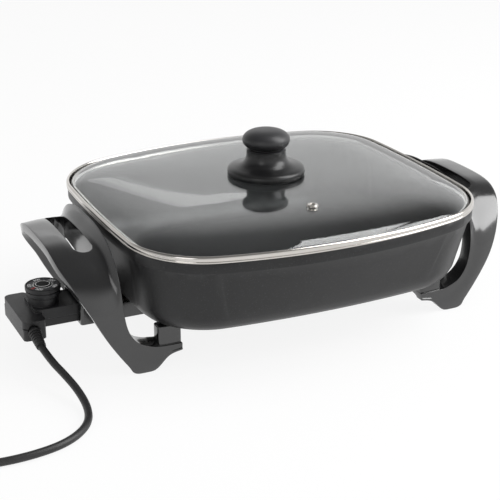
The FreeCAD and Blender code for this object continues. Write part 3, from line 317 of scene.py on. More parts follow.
def clear_glass(name):
    """Clear tempered glass that lets the lamps through to the pan."""
    material, tree, shader = new_material(name)
    smears = placed(tree, "moulded grain", Colour=(0.93, 0.95, 0.95, 1), Variation=0.02, Grain_Scale=900.0,
                    Patch_Scale=8.0, Roughness=0.02, Roughness_Range=0.03)
    fill(shader, Base_Color=smears["Colour"], Roughness=smears["Roughness"], Transmission_Weight=1.0, IOR=1.47)
    clear = fill(tree.nodes.new("ShaderNodeBsdfTransparent"), Color=(0.86, 0.88, 0.88, 1))
    rays = tree.nodes.new("ShaderNodeLightPath").outputs
    mix_surface(math_node("MAXIMUM", rays["Is Shadow Ray"], rays["Is Diffuse Ray"]), shader, clear)
    return material


# Pieces ---------------------------------------------------------------------------------------


def deselect():
    """Leave edit mode with nothing selected."""
    if bpy.context.object and bpy.context.object.mode != "OBJECT":
        bpy.ops.object.mode_set(mode="OBJECT")
    bpy.ops.object.select_all(action="DESELECT")


def choose(piece):
    """Make one object the only selected and active one."""
    deselect()
    piece.select_set(True)
    bpy.context.view_layer.objects.active = piece


def shade(piece, angle):
    """Shade a piece smooth, apart from edges sharper than an angle in degrees."""
    choose(piece)
    bpy.ops.object.shade_smooth_by_angle(angle=math.radians(angle))


def settle(piece):
    """Put an object's place into its mesh, so that it sits at the origin."""
    choose(piece)
    bpy.ops.object.transform_apply(location=True, rotation=True, scale=True)


def add_object(name, data):
    """A new object at the origin."""
    piece = bpy.data.objects.new(name, data)
    bpy.context.collection.objects.link(piece)
    return piece


def add_block(place, size):
    """A plain box with its place and size in its mesh."""
    deselect()
    bpy.ops.mesh.primitive_cube_add(size=1, location=place)
    piece = bpy.context.object
    piece.scale = size
    settle(piece)
    return piece


def bevel_all(offset, segments):
    """Bevel every edge of the active object."""
    bpy.ops.object.mode_set(mode="EDIT")
    bpy.ops.mesh.select_all(action="SELECT")
    bpy.ops.mesh.bevel(offset=offset, segments=segments)
    bpy.ops.object.mode_set(mode="OBJECT")


def join(pieces):
    """Join pieces into the first of them."""
    choose(pieces[0])
    for piece in pieces:
        piece.select_set(True)
    bpy.ops.object.join()


def middle_of(node):
    """The middle of a CAD node's box."""
    low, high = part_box(node)
    return (low + high) / 2


def dress(piece, material):
    """Give a piece one material."""
    piece.data.materials.clear()
    piece.data.materials.append(material)


def finish(slot):
    """The material made for one of the record's slots."""
    return bpy.data.materials[json.loads(bpy.context.scene["finish_names"])[slot]]


def finish_piece(piece, name, body, slot, *nodes, material=None):
    """Name a piece, give it its finish and say what it rides on and stands for."""
    piece.name = name
    piece.data.name = name
    dress(piece, material or finish(slot))
    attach(piece, body)
    if nodes:
        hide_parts(*nodes)


def apply_modifiers(piece):
    """Apply every modifier of a piece in turn."""
    choose(piece)
    for modifier in list(piece.modifiers):
        bpy.ops.object.modifier_apply(modifier=modifier.name)


def welded_copy(node, angle, flatten=0.0):
    """A copy of a CAD node's mesh with its triangles joined and its shallow edges shaded smooth."""
    piece = frame["nodes"][node].copy()
    piece.data = frame["nodes"][node].data.copy()
    bpy.context.collection.objects.link(piece)
    piece.parent = None
    for key in list(piece.keys()):
        del piece[key]
    work = bmesh.new()
    work.from_mesh(piece.data)
    bmesh.ops.remove_doubles(work, verts=work.verts, dist=0.00001)
    if flatten:
        bmesh.ops.dissolve_limit(work, angle_limit=flatten, verts=work.verts, edges=work.edges)
    work.to_mesh(piece.data)
    work.free()
    piece.data.normals_split_custom_set_from_vertices([(0, 0, 0)] * len(piece.data.vertices))
    shade(piece, angle)
    even = piece.modifiers.new("even shading", "WEIGHTED_NORMAL")
    even.mode = "FACE_AREA_WITH_ANGLE"
    even.keep_sharp = True
    apply_modifiers(piece)
    return piece


def skin(name, rows, ends):
    """A closed skin over rings of points. Its ends are joined to each other, flat, or fanned to the middle."""
    work = bmesh.new()
    rings = [[work.verts.new(point) for point in row] for row in rows]
    for near, far in zip(rings, rings[1:] + (rings[:1] if ends == "joined" else [])):
        for i in range(len(near)):
            j = (i + 1) % len(near)
            work.faces.new((near[i], near[j], far[j], far[i]))
    if ends == "flat":
        work.faces.new(rings[0])
        work.faces.new(rings[-1][::-1])
    elif ends == "fanned":
        for ring in (rings[0], rings[-1]):
            middle = work.verts.new((MIDDLE_X, 0, ring[0].co.z))
            for i in range(len(ring)):
                work.faces.new((ring[i], ring[(i + 1) % len(ring)], middle))
    bmesh.ops.recalc_face_normals(work, faces=work.faces)
    mesh = bpy.data.meshes.new(name)
    work.to_mesh(mesh)
    work.free()
    return add_object(name, mesh)


def turned_piece(profile, middle, segments=96):
    """A round piece built up ring by ring from a filled disc: profile is (radius, height) from the bottom."""
    deselect()
    radius, height = profile[0]
    bpy.ops.mesh.primitive_circle_add(vertices=segments, radius=radius, fill_type="NGON",
                                      location=(middle.x, middle.y, height))
    piece = bpy.context.object
    bpy.ops.object.mode_set(mode="EDIT")
    bpy.ops.mesh.select_mode(type="FACE")
    bpy.ops.mesh.select_all(action="SELECT")
    for next_radius, next_height in profile[1:]:
        bpy.ops.mesh.extrude_region_move(TRANSFORM_OT_translate={"value": (0, 0, next_height - height)})
        share = next_radius / radius
        bpy.ops.transform.resize(value=(share, share, 1), center_override=(middle.x, middle.y, next_height))
        radius, height = next_radius, next_height
    bpy.ops.mesh.select_all(action="SELECT")
    bpy.ops.mesh.normals_make_consistent(inside=False)
    bpy.ops.object.mode_set(mode="OBJECT")
    settle(piece)
    return piece


def round_edges(piece, angle, width, segments=3):
    """Round the edges of a piece that are sharper than an angle in degrees."""
    bevel = piece.modifiers.new("soft edges", "BEVEL")
    bevel.limit_method = "ANGLE"
    bevel.angle_limit = math.radians(angle)
    bevel.width = width
    bevel.segments = segments
    apply_modifiers(piece)


# Finishes -------------------------------------------------------------------------------------


class FinishesOperator(bpy.types.Operator):
    """Give every CAD node that stays its own finish"""
    bl_idname = "skillet.finishes"
    bl_label = "Finishes"

    def execute(self, context):
        grain_group()
        edges_group()
        drawn_group()
        colours = context.scene.skillet_colours
        soft = context.scene.skillet_sizes.edge_softness
        finishes = {
            "pan_coating": moulded(
                "pan coating", colours.coating, roughness=0.4, spread=0.08, variation=0.25, grain=1400, patch=9,
                bump=0.00003, edge=0.0008, worn=(0.05, 0.05, 0.05, 1), gain=1.0, specular=0.4, flecks=0.05),
            "element_sheath": metal(
                "heat stained sheath", (0.3, 0.29, 0.28), (0.14, 0.11, 0.09), 0.42, 0.2, (1, 1, 1)),
            "contact_metal": metal(
                "contact brass", (0.72, 0.56, 0.3), (0.5, 0.36, 0.2), 0.28, 0.15, (4, 40, 40)),
            "ceramic": moulded(
                "ceramic", (0.78, 0.75, 0.69), roughness=0.5, spread=0.1, variation=0.15, grain=1800, patch=30),
            "phenolic": moulded(
                "glossy black moulding", colours.moulding, roughness=0.16, spread=0.06, variation=0.3, grain=2200,
                patch=11, bump=0.000006, edge=soft, worn=(0.1, 0.1, 0.1, 1), gain=1.2, specular=0.9, coat=0.3,
                coat_roughness=0.06),
            "knob_flare": moulded(
                "satin flared base", colours.moulding, roughness=0.3, spread=0.08, variation=0.3, grain=2600,
                patch=16, bump=0.00002, edge=soft, worn=(0.09, 0.09, 0.09, 1), gain=1.2, specular=0.5),
            "screw_steel": metal(
                "plated screws", (0.55, 0.54, 0.52), (0.4, 0.38, 0.35), 0.3, 0.1, (30, 30, 4)),
            "rim_steel": metal(
                "polished steel", (0.68, 0.66, 0.635), (0.56, 0.53, 0.49), 0.12, 0.06, (1, 1, 60), scale=90,
                bump=0.000004, edge=0.0002),
            "knob_plastic": moulded(
                "satin knob", colours.knob, roughness=0.4, spread=0.1, variation=0.25, grain=2600, patch=16,
                bump=0.00003, edge=soft),
            "seal_rubber": moulded(
                "silicone seal", (0.22, 0.22, 0.22), roughness=0.6, spread=0.1, variation=0.1),
            "control_plastic": moulded(
                "satin housing", colours.housing, roughness=0.42, spread=0.14, variation=0.35, grain=3200, patch=22,
                bump=0.00006, edge=soft),
            "bimetal": metal(
                "bimetal strip", (0.56, 0.47, 0.34), (0.4, 0.3, 0.2), 0.35, 0.1, (3, 40, 40)),
            "dial_print": moulded(
                "dial plate", (0.07, 0.07, 0.075), roughness=0.35, spread=0.08, variation=0.1, grain=3000, patch=30,
                bump=0.00001, edge=0.0003),
            "cord_rubber": moulded(
                "cord jacket", colours.jacket, roughness=0.45, spread=0.12, variation=0.3, grain=1500, patch=30,
                bump=0.00005, edge=0.0004),
            "lid_glass": clear_glass("tempered glass"),
        }
        slots = {entry["node"]: entry["material_slot"] for entry in frame["record"]["subparts"]}
        for name, node in frame["nodes"].items():
            dress(node, finishes[slots[name]])
        context.scene["finish_names"] = json.dumps({slot: finish.name for slot, finish in finishes.items()})
        return {"FINISHED"}


# Operators, one for each group of pieces ------------------------------------------------------


class PanOperator(bpy.types.Operator):
    """Pan casting with a smooth coated surface and a softened lip"""
    bl_idname = "skillet.pan"
    bl_label = "Pan"

    def execute(self, context):
        piece = welded_copy("pan_body", 34)
        finish_piece(piece, "coated_pan", "pan", "pan_coating", "pan_body")
        return {"FINISHED"}


# Half of one handle in millimetres from the pan's middle, from the crown down to the post under the pan.
# Each row holds the outer edge, the ribbon beside the collar and the collar's edge, as (out, forward, up).
HANDLE_STATIONS = [
    ((254.2, 0.0, 123.6), (212.0, 0.0, 123.6), (200.4, 0.0, 136.6)),
    ((254.2, 18.0, 123.4), (212.0, 18.0, 123.4), (200.4, 22.0, 136.4)),
    ((254.2, 36.0, 122.2), (212.0, 36.0, 122.2), (200.4, 42.0, 133.8)),
    ((253.8, 52.0, 118.4), (211.5, 52.0, 119.2), (200.4, 58.0, 129.4)),
    ((251.2, 67.0, 110.0), (211.0, 66.5, 113.2), (200.4, 71.0, 123.0)),
    ((245.0, 80.0, 97.2), (210.0, 79.5, 103.2), (200.3, 82.0, 113.6)),
    ((237.8, 89.5, 82.4), (209.0, 89.5, 90.0), (200.0, 91.0, 100.4)),
    ((230.0, 95.8, 67.5), (207.5, 95.8, 74.0), (199.5, 96.2, 82.6)),
    ((222.8, 98.2, 53.0), (204.5, 98.2, 57.4), (198.2, 98.2, 63.6)),
    ((214.0, 98.5, 37.0), (199.5, 98.5, 41.4), (194.2, 98.5, 46.6)),
    ((204.4, 98.5, 22.0), (190.0, 98.5, 27.6), (185.4, 98.5, 33.8)),
    ((195.4, 98.5, 9.4), (177.0, 98.5, 19.4), (172.0, 98.5, 27.2)),
    ((188.6, 98.5, 1.0), (168.0, 98.5, 17.0), (164.0, 98.5, 25.4)),
    ((169.0, 98.5, 0.6), (160.0, 98.5, 17.0), (157.0, 98.5, 24.8)),
    ((153.5, 98.5, 13.4), (150.0, 98.5, 18.6), (149.0, 98.5, 24.6)),
    ((139.6, 98.5, 17.0), (139.4, 98.5, 20.0), (139.2, 98.5, 24.6)),
]
# Thickness of the ribbon at its outer edge, middle and collar: along the arm, at the crown and at the foot.
# The reaches and starts are places along the stations, and the crown's thickness fades by a power.
RIBBON_DEPTHS = (9.0, 11.0, 16.0)
CROWN_DEPTHS = (9.0, 30.0, 34.0)
CROWN_REACH, CROWN_FADE = 5.0, 0.7
FOOT_DEPTHS = (10.0, 16.0, 25.0)
FOOT_START, FOOT_REACH = 8.5, 3.0
LEVEL_START, LEVEL_REACH = 5.0, 3.0
# Points across the top of a section, from the collar's edge to the ribbon and on to the outer edge, as shares.
# The collar falls by a power, and the arm bulges by a depth and thins by a power.
COLLAR_SHARES, COLLAR_FALL = (0.0, 0.12, 0.28, 0.48, 0.72), 2.2
ARM_SHARES, ARM_BULGE, ARM_THINNING = (0.0, 0.2, 0.4, 0.6, 0.8, 0.93, 1.0), 1.1, 0.6
STATION_STEPS = 5
ARCH_EDGE = 1.3
# The finger slot: its two sides, its length, the middle and depth of its cutter, and its corners as a share
SLOT_NEAR, SLOT_FAR, SLOT_LENGTH, SLOT_LEVEL, SLOT_DEPTH, SLOT_CORNER = 210.5, 230.5, 108.0, 120.0, 80.0, 0.495
# The posts under the pan
POST_NEAR, POST_FAR, POST_FORWARD, POST_WIDTH, POST_FOOT = 139.4, 164.0, 90.0, 13.6, 19.0
POST_GAP, POST_EDGE = 0.3, 2.2


def between(points, place):
    """A point on the smooth curve through a row of points."""
    index = min(int(place), len(points) - 2)
    share = place - index
    four = [points[min(max(i, 0), len(points) - 1)] for i in range(index - 1, index + 3)]
    if index == 0:
        four[0] = Vector((points[1].x, -points[1].y, points[1].z))
    a, b, c, d = four
    return (b * 2 + (c - a) * share + (a * 2 - b * 5 + c * 4 - d) * share ** 2
            + (b * 3 - a - c * 3 + d) * share ** 3) / 2


def ribbon_section(place):
    """The closed outline across one handle's ribbon: over the top from collar to outer edge, and back below."""
    outer, middle, collar = ([Vector(row[i]) for row in HANDLE_STATIONS] for i in range(3))
    here = [between(row, place) for row in (outer, middle, collar)]
    ahead = between(middle, min(place + 0.05, len(middle) - 1.001))
    behind = between(middle, max(place - 0.05, 0))
    run = ahead - behind
    # The ribbon's thickness hangs square to its run over the crown, and turns to lie level down the leg
    lean = min(max(1 - (place - LEVEL_START) / LEVEL_REACH, 0.0), 1.0)
    square = Vector((0, -abs(run.z), -abs(run.y))).normalized()
    inward = (square * lean + Vector((0, -1, 0)) * (1 - lean)).normalized()
    crown = max(0.0, 1 - place / CROWN_REACH) ** CROWN_FADE
    foot = min(max((place - FOOT_START) / FOOT_REACH, 0.0), 1.0)
    depths = [arm + (high - arm) * crown + (low - arm) * foot
              for arm, high, low in zip(RIBBON_DEPTHS, CROWN_DEPTHS, FOOT_DEPTHS)]
    top = []
    for share in COLLAR_SHARES:
        point = here[1].lerp(here[2], (1 - share) ** COLLAR_FALL)
        point.x = here[2].x + (here[1].x - here[2].x) * share
        top.append((point, depths[2] + (depths[1] - depths[2]) * share))
    for share in ARM_SHARES:
        point = here[1].lerp(here[0], share) - inward * (ARM_BULGE * math.sin(math.pi * share))
        top.append((point, depths[1] + (depths[0] - depths[1]) * share ** ARM_THINNING))
    return [point for point, _ in top] + [point + inward * depth for point, depth in top[::-1]]


class HandlesOperator(bpy.types.Operator):
    """Two arched handles: a curved ribbon with a raised collar, a finger slot, feet and posts"""
    bl_idname = "skillet.handles"
    bl_label = "Handles"

    def execute(self, context):
        for side, sign in (("left", -1), ("right", 1)):
            ribbon = self.ribbon(sign)
            self.cut_slot(ribbon, sign)
            round_edges(ribbon, 38, ARCH_EDGE * MM)
            join([ribbon] + [self.post(sign, forward) for forward in (-1, 1)])
            shade(ribbon, 42)
            finish_piece(ribbon, side + "_arch", "pan", "phenolic", side + "_handle")
        return {"FINISHED"}

    def ribbon(self, sign):
        """The ribbon as one closed skin over its cross-sections, from the front post to the rear one."""
        last = len(HANDLE_STATIONS) - 1
        places = [i / STATION_STEPS for i in range(last * STATION_STEPS + 1)]
        rings = [(ribbon_section(place), -1) for place in places[::-1]]
        rings += [(ribbon_section(place), 1) for place in places[1:]]
        return skin("ribbon", [[(sign * p.x * MM + MIDDLE_X, forward * p.y * MM, max(p.z, 0.0) * MM) for p in ring]
                               for ring, forward in rings], "flat")

    def cut_slot(self, ribbon, sign):
        """Cut the finger slot with a rounded bar."""
        near, far = SLOT_NEAR * MM, SLOT_FAR * MM
        bar = add_block((sign * (near + far) / 2 + MIDDLE_X, 0, SLOT_LEVEL * MM),
                        (far - near, SLOT_LENGTH * MM, SLOT_DEPTH * MM))
        work = bmesh.new()
        work.from_mesh(bar.data)
        upright = [e for e in work.edges if abs((e.verts[0].co - e.verts[1].co).z) > SLOT_DEPTH * MM / 2]
        bmesh.ops.bevel(work, geom=upright, offset=(far - near) * SLOT_CORNER, segments=12, affect="EDGES",
                        profile=0.5)
        work.to_mesh(bar.data)
        work.free()
        cutter = ribbon.modifiers.new("slot", "BOOLEAN")
        cutter.operation = "DIFFERENCE"
        cutter.object = bar
        apply_modifiers(ribbon)
        bpy.data.objects.remove(bar)

    def post(self, sign, forward):
        """A rounded block between the arm and the underside of the pan."""
        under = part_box("pan_body")[0].z
        near, far, foot = POST_NEAR * MM, POST_FAR * MM, POST_FOOT * MM
        block = add_block((sign * (near + far) / 2 + MIDDLE_X, forward * POST_FORWARD * MM, (under + foot) / 2),
                          (far - near, POST_WIDTH * MM, under - foot - POST_GAP * MM))
        bevel_all(POST_EDGE * MM, 3)
        return block


# Plan outline of the lid in millimetres at the outside of its band, and the glass in it
LID_HALF_LENGTH, LID_HALF_WIDTH = 193.0, 181.0
LID_SIDE_RADIUS, LID_END_RADIUS, LID_CORNER_RADIUS = 520.0, 1600.0, 85.0
GLASS_INSET = 3.4
GLASS_THICKNESS = 4.0
GLASS_RINGS = 34
GLASS_ARC_STEPS = 24
# Turns of the dome's curve in degrees where its inner face leaves the seat, and where the flat middle starts.
# Rings draw in by a power of the turn's cosine, and rise with the turn and with what they draw in.
GLASS_INNER_TURN, GLASS_LAST_TURN = 13, 88
DOME_POWER, DOME_TURN_RISE, DOME_DRAWN_RISE = 0.35, 0.86, 0.2
VENT_LIP_RADIUS, VENT_LIP_WIDTH = 4.0, 3.2
# Section of the rolled metal band in millimetres: how far in from the lid's outline, and how high
BAND_SECTION = [
    (0.9, 131.5), (0.3, 131.75), (0.05, 132.2), (0.0, 132.7), (0.1, 133.2), (0.45, 133.5), (0.55, 133.75),
    (0.35, 134.1), (0.12, 134.7), (0.0, 135.5), (0.0, 136.1), (0.15, 136.9), (0.5, 137.6), (1.0, 138.2),
    (1.6, 138.6), (2.2, 138.68), (2.75, 138.4), (3.1, 137.9), (3.2, 137.2), (3.2, 132.3), (10.8, 132.3),
    (10.8, 128.6), (10.6, 128.5), (10.1, 128.5), (9.9, 128.6), (9.9, 131.5)]


def lid_outline(inset):
    """The lid's plan outline drawn in by an inset: bulged sides and ends joined by tangent corner arcs."""
    length, width, side, end, corner = (value - inset for value in (
        LID_HALF_LENGTH, LID_HALF_WIDTH, LID_SIDE_RADIUS, LID_END_RADIUS, LID_CORNER_RADIUS))
    end_middle, side_middle = Vector((length - end, 0)), Vector((0, width - side))
    apart = side_middle - end_middle
    along = ((end - corner) ** 2 - (side - corner) ** 2 + apart.length_squared) / (2 * apart.length)
    across = math.sqrt((end - corner) ** 2 - along ** 2)
    way = apart.normalized()
    middle = end_middle + way * along + Vector((-way.y, way.x)) * across
    end_turn = math.atan2(middle.y, middle.x - end_middle.x)
    side_turn = math.atan2(middle.y - side_middle.y, middle.x)
    quarter = []
    for centre, radius, start, stop, steps in ((end_middle, end, 0, end_turn, GLASS_ARC_STEPS // 2),
                                               (middle, corner, end_turn, side_turn, GLASS_ARC_STEPS),
                                               (side_middle, side, side_turn, math.pi / 2, GLASS_ARC_STEPS // 2)):
        for i in range(steps):
            turn = start + (stop - start) * i / steps
            quarter.append((centre.x + radius * math.cos(turn), centre.y + radius * math.sin(turn)))
    quarter.append((0.0, width))
    half = quarter + [(-x, y) for x, y in quarter[-2::-1]]
    return half + [(x, -y) for x, y in half[-2:0:-1]]


class LidOperator(bpy.types.Operator):
    """Clear glass dome, a steep shoulder that runs into a shallow crown, in a rolled metal band"""
    bl_idname = "skillet.lid"
    bl_label = "Lid"

    def execute(self, context):
        self.band()
        self.vent_lip()
        low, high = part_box("lid_glass")
        outer = self.rings(lid_outline(GLASS_INSET), low.z, high.z - low.z, 0.0, 0.0)
        inner = self.rings(lid_outline(GLASS_INSET + GLASS_THICKNESS), low.z, high.z - low.z, GLASS_THICKNESS * MM,
                           math.radians(GLASS_INNER_TURN))
        piece = skin("glass_dome", inner[::-1] + outer, "fanned")
        shade(piece, 50)
        finish_piece(piece, "glass_dome", "lid", "lid_glass", "lid_glass")
        return {"FINISHED"}

    def vent_lip(self):
        """A rounded steel lip round the steam vent."""
        middle = middle_of("vent_grommet")
        deselect()
        bpy.ops.mesh.primitive_torus_add(major_radius=VENT_LIP_RADIUS * MM, minor_radius=VENT_LIP_WIDTH / 2 * MM,
                                         major_segments=48, minor_segments=16,
                                         location=(middle.x, middle.y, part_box("vent_grommet")[1].z))
        piece = bpy.context.object
        piece.scale = (1, 1, 0.5)
        settle(piece)
        bpy.ops.object.shade_smooth()
        finish_piece(piece, "vent_lip", "lid", "rim_steel")

    def band(self):
        """The band round the glass: a thin lower bead, a groove and a rounded upper roll."""
        rows = [[(x * MM + MIDDLE_X, y * MM, level * MM) for x, y in lid_outline(inset)]
                for inset, level in BAND_SECTION]
        piece = skin("rolled_band", rows, "joined")
        shade(piece, 50)
        finish_piece(piece, "rolled_band", "lid", "rim_steel", "lid_rim")

    def rings(self, outline, seat, height, drop, first):
        """Rings of one face of the glass, from its edge up to its crown."""
        last = math.radians(GLASS_LAST_TURN)
        rings = []
        for i in range(GLASS_RINGS + 1):
            turn = first + (last - first) * i / GLASS_RINGS
            share, rise = self.profile(turn)
            level = seat + height * rise / self.profile(last)[1] - drop
            level = max(level, seat) if i else seat
            rings.append([(x * share * MM + MIDDLE_X, y * share * MM, level) for x, y in outline])
        return rings

    def profile(self, turn):
        """How far a ring draws in and how far it rises at one place of the dome's curve."""
        share = math.cos(turn) ** DOME_POWER
        return share, math.sin(turn) * DOME_TURN_RISE + (1 - share) * DOME_DRAWN_RISE


# Sections of the knob in millimetres. The flare's rim is (in from the flange, height) and its neck (out from the
# neck, height). The cap's seat is (in from the neck, height), and its round runs between two turns in degrees,
# with a power of the cosine for its reach and a share of its height, each for below and above its middle.
FLARE_RIM = [(1.0, 0.0), (0.3, 0.3), (0.0, 1.2), (0.0, 4.6), (0.35, 5.9), (1.3, 6.9), (3.0, 7.8), (6.5, 8.7)]
FLARE_NECK = [(8.5, 10.1), (4.2, 12.3), (1.6, 15.4), (0.4, 18.6), (0.0, 22.0)]
NECK_SHARE, HOLE_SHARE = 0.507, 0.5
CAP_SEAT = [(1.2, 0.0), (0.6, 0.2), (0.4, 0.8)]
CAP_START, CAP_TURN, CAP_STEPS = -58, 146, 22
CAP_POWERS, CAP_HEIGHTS = (0.62, 0.72), (0.95, 1.0)


class KnobOperator(bpy.types.Operator):
    """Turned knob: a flared glossy base and a satin cap"""
    bl_idname = "skillet.knob"
    bl_label = "Lid knob"

    def execute(self, context):
        low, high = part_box("knob_base")
        middle = middle_of("knob_base")
        flange = high.x - middle.x
        neck, bottom, top = flange * NECK_SHARE, low.z, high.z
        profile = [(flange - inset * MM, bottom + height * MM) for inset, height in FLARE_RIM]
        profile += [(neck + out * MM, bottom + height * MM) for out, height in FLARE_NECK]
        profile += [(neck, top), (neck * HOLE_SHARE, top)]
        self.turn(profile, middle, "flared_base", "phenolic", "knob_base", finish("knob_flare"))
        low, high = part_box("knob_cap")
        wide, bottom, tall = high.x - middle.x, low.z, high.z - low.z
        profile = [(neck - inset * MM, bottom + height * MM) for inset, height in CAP_SEAT]
        for i in range(CAP_STEPS):
            turn = math.radians(CAP_START + CAP_TURN * i / (CAP_STEPS - 1))
            above = int(turn > 0)
            lift = tall * (0.5 + 0.5 * math.sin(turn) * CAP_HEIGHTS[above])
            profile.append((wide * math.cos(turn) ** CAP_POWERS[above], bottom + lift))
        self.turn(profile, middle, "rounded_cap", "knob_plastic", "knob_cap", None)
        return {"FINISHED"}

    def turn(self, profile, middle, name, slot, node, material):
        """One turned piece of the knob with its finish."""
        piece = turned_piece(profile, middle)
        shade(piece, 40)
        finish_piece(piece, name, "lid", slot, node, material=material)


# Rounding of the housing's halves, in metres
HOUSING_SEAMS = (("lower", 0.0007), ("upper", 0.0011))


class ControlOperator(bpy.types.Operator):
    """Heat control housing with softened edges"""
    bl_idname = "skillet.control"
    bl_label = "Heat control"

    def execute(self, context):
        for half, width in HOUSING_SEAMS:
            piece = welded_copy("control_" + half, 34, math.radians(0.5))
            round_edges(piece, 40, width)
            shade(piece, 35)
            finish_piece(piece, "housing_" + half, "control", "control_plastic", "control_" + half)
        return {"FINISHED"}


# Print on the dial: turns in degrees, reaches as shares of the dial's radius, and sizes in metres
DIAL_WORDS = ("400", "350", "300", "250", "200")
DIAL_START, DIAL_SWEEP = -40, 280
TICK_REACH, LONG_TICK_START, TICK_START, TICK_WIDTH = 0.62, 0.53, 0.56, 0.0006
WORD_REACH, WORD_SIZE = 0.74, 0.0052
POINTER_TURN, POINTER_START, POINTER_REACH, POINTER_WIDTH = 206, 0.56, 0.84, 0.0016
POINTER_RED = (0.55, 0.02, 0.015)
OUTER_RING_GAP, INNER_RING_SHARE, RING_WIDTH = 0.0006, 0.8, 0.0008
PRINT_HEIGHT, BAR_LIFT, RING_LIFT, WORD_LIFT = 0.00012, 0.00004, 0.00002, 0.00006


class DialOperator(bpy.types.Operator):
    """Print on the dial: short marks, plain numbers, two rings and a red pointer"""
    bl_idname = "skillet.dial"
    bl_label = "Dial"

    def execute(self, context):
        radius = DIAL_HIGH.x - DIAL_X
        white = printed("printed marks", context.scene.skillet_colours.marks, 0.5)
        red = printed("red pointer", POINTER_RED, 0.35)
        plate_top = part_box("dial_plate")[1].z
        marks = []
        count = context.scene.skillet_sizes.dial_ticks
        for i in range(count):
            turn = math.radians(DIAL_START + DIAL_SWEEP * i / (count - 1))
            start = TICK_START if i % 4 else LONG_TICK_START
            marks.append(self.bar(turn, radius * start, radius * TICK_REACH, TICK_WIDTH, plate_top))
        for i, words in enumerate(DIAL_WORDS):
            turn = math.radians(DIAL_START + DIAL_SWEEP * i / (len(DIAL_WORDS) - 1))
            marks.append(self.number(words, turn, radius * WORD_REACH, plate_top))
        cap_low, cap_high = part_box("dial_cap")
        cap_radius = (cap_high.x - cap_low.x) / 2
        marks.append(self.ring_line(cap_radius + OUTER_RING_GAP, plate_top))
        marks.append(self.ring_line(cap_radius * INNER_RING_SHARE, cap_high.z))
        join(marks)
        settle(marks[0])
        finish_piece(marks[0], "dial_marks", "dial", "dial_print", material=white)
        pointer = self.bar(math.radians(POINTER_TURN), radius * POINTER_START, radius * POINTER_REACH, POINTER_WIDTH,
                           plate_top)
        settle(pointer)
        finish_piece(pointer, "dial_pointer", "dial", "dial_print", material=red)
        return {"FINISHED"}

    def bar(self, turn, near, far, width, level):
        """A thin raised mark along a radius of the dial."""
        middle = (near + far) / 2
        deselect()
        bpy.ops.mesh.primitive_cube_add(size=1, location=(0, 0, 0))
        piece = bpy.context.object
        piece.scale = (far - near, width, PRINT_HEIGHT)
        piece.rotation_euler = (0, 0, turn)
        piece.location = (DIAL_X + math.cos(turn) * middle, math.sin(turn) * middle, level + BAR_LIFT)
        bevel_all(0.00003, 1)
        return piece

    def ring_line(self, reach, level):
        """A thin printed circle round the dial's cap."""
        deselect()
        bpy.ops.mesh.primitive_torus_add(major_radius=reach, minor_radius=RING_WIDTH / 2, major_segments=72,
                                         minor_segments=8, location=(DIAL_X, 0, level + RING_LIFT))
        piece = bpy.context.object
        piece.scale = (1, 1, 0.3)
        return piece

    def number(self, words, turn, reach, level):
        """A small flat number that faces out from the dial's middle."""
        deselect()
        bpy.ops.object.text_add(location=(0, 0, 0))
        piece = bpy.context.object
        piece.data.body = words
        piece.data.size = WORD_SIZE
        piece.data.align_x = "CENTER"
        piece.data.align_y = "CENTER"
        piece.data.offset = 0.0001
        piece.data.extrude = 0.00005
        piece.rotation_euler = (0, 0, turn - math.pi / 2)
        piece.location = (DIAL_X + math.cos(turn) * reach, math.sin(turn) * reach, level + WORD_LIFT)
        bpy.ops.object.convert(target="MESH")
        return bpy.context.object


class CordOperator(bpy.types.Operator):
    """Mains cord from the boot to the plug, with its spare length coiled"""
    bl_idname = "skillet.cord"
    bl_label = "Mains cord"

    def execute(self, context):
        sizes = context.scene.skillet_sizes
        points = [Vector((x * MM + MIDDLE_X, y * MM, z * MM)) for x, y, z in CORD_ROUTE]
        level = CORD_ROUTE[-1][2]
        count = int(COIL_TURNS * COIL_POINTS_PER_TURN)
        outward = 1 / math.cos(math.pi / COIL_POINTS_PER_TURN)
        half = COIL_TURNS / 2
        for i in range(count + 1):
            turns = COIL_TURNS * i / count
            shrink = COIL_PITCH * (half - abs(turns - half))
            share = min(max((turns - half) / COIL_CLIMB + 0.5, 0.0), 1.0)
            height = COIL_LAYER * share * share * (3 - 2 * share)
            angle = -math.pi / 2 - 2 * math.pi * turns
            reach = (COIL_RADIUS - shrink) * (outward if 0 < i < count else 1.0)
            points.append(Vector(((COIL_MIDDLE[0] + math.cos(angle) * reach) * MM + MIDDLE_X,
                                  (COIL_MIDDLE[1] + math.sin(angle) * reach) * MM, (level + height) * MM)))
        plug = middle_of("plug_body")
        points.append(Vector((plug.x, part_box("plug_body")[0].y + PLUG_OVERLAP * MM, plug.z)))
        curve = bpy.data.curves.new("mains_cord", "CURVE")
        curve.dimensions = "3D"
        curve.bevel_depth = sizes.cord_diameter / 2
        curve.bevel_resolution = 6
        curve.resolution_u = 10
        curve.use_fill_caps = True
        spline = curve.splines.new("NURBS")
        spline.points.add(len(points) - 1)
        for target, point in zip(spline.points, points):
            target.co = (*point, 1)
        spline.order_u = 3
        spline.use_endpoint_u = True
        piece = add_object("mains_cord", curve)
        curve.materials.append(finish("cord_rubber"))
        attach(piece, "control")
        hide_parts("cord_run", "cord_coil")
        return {"FINISHED"}


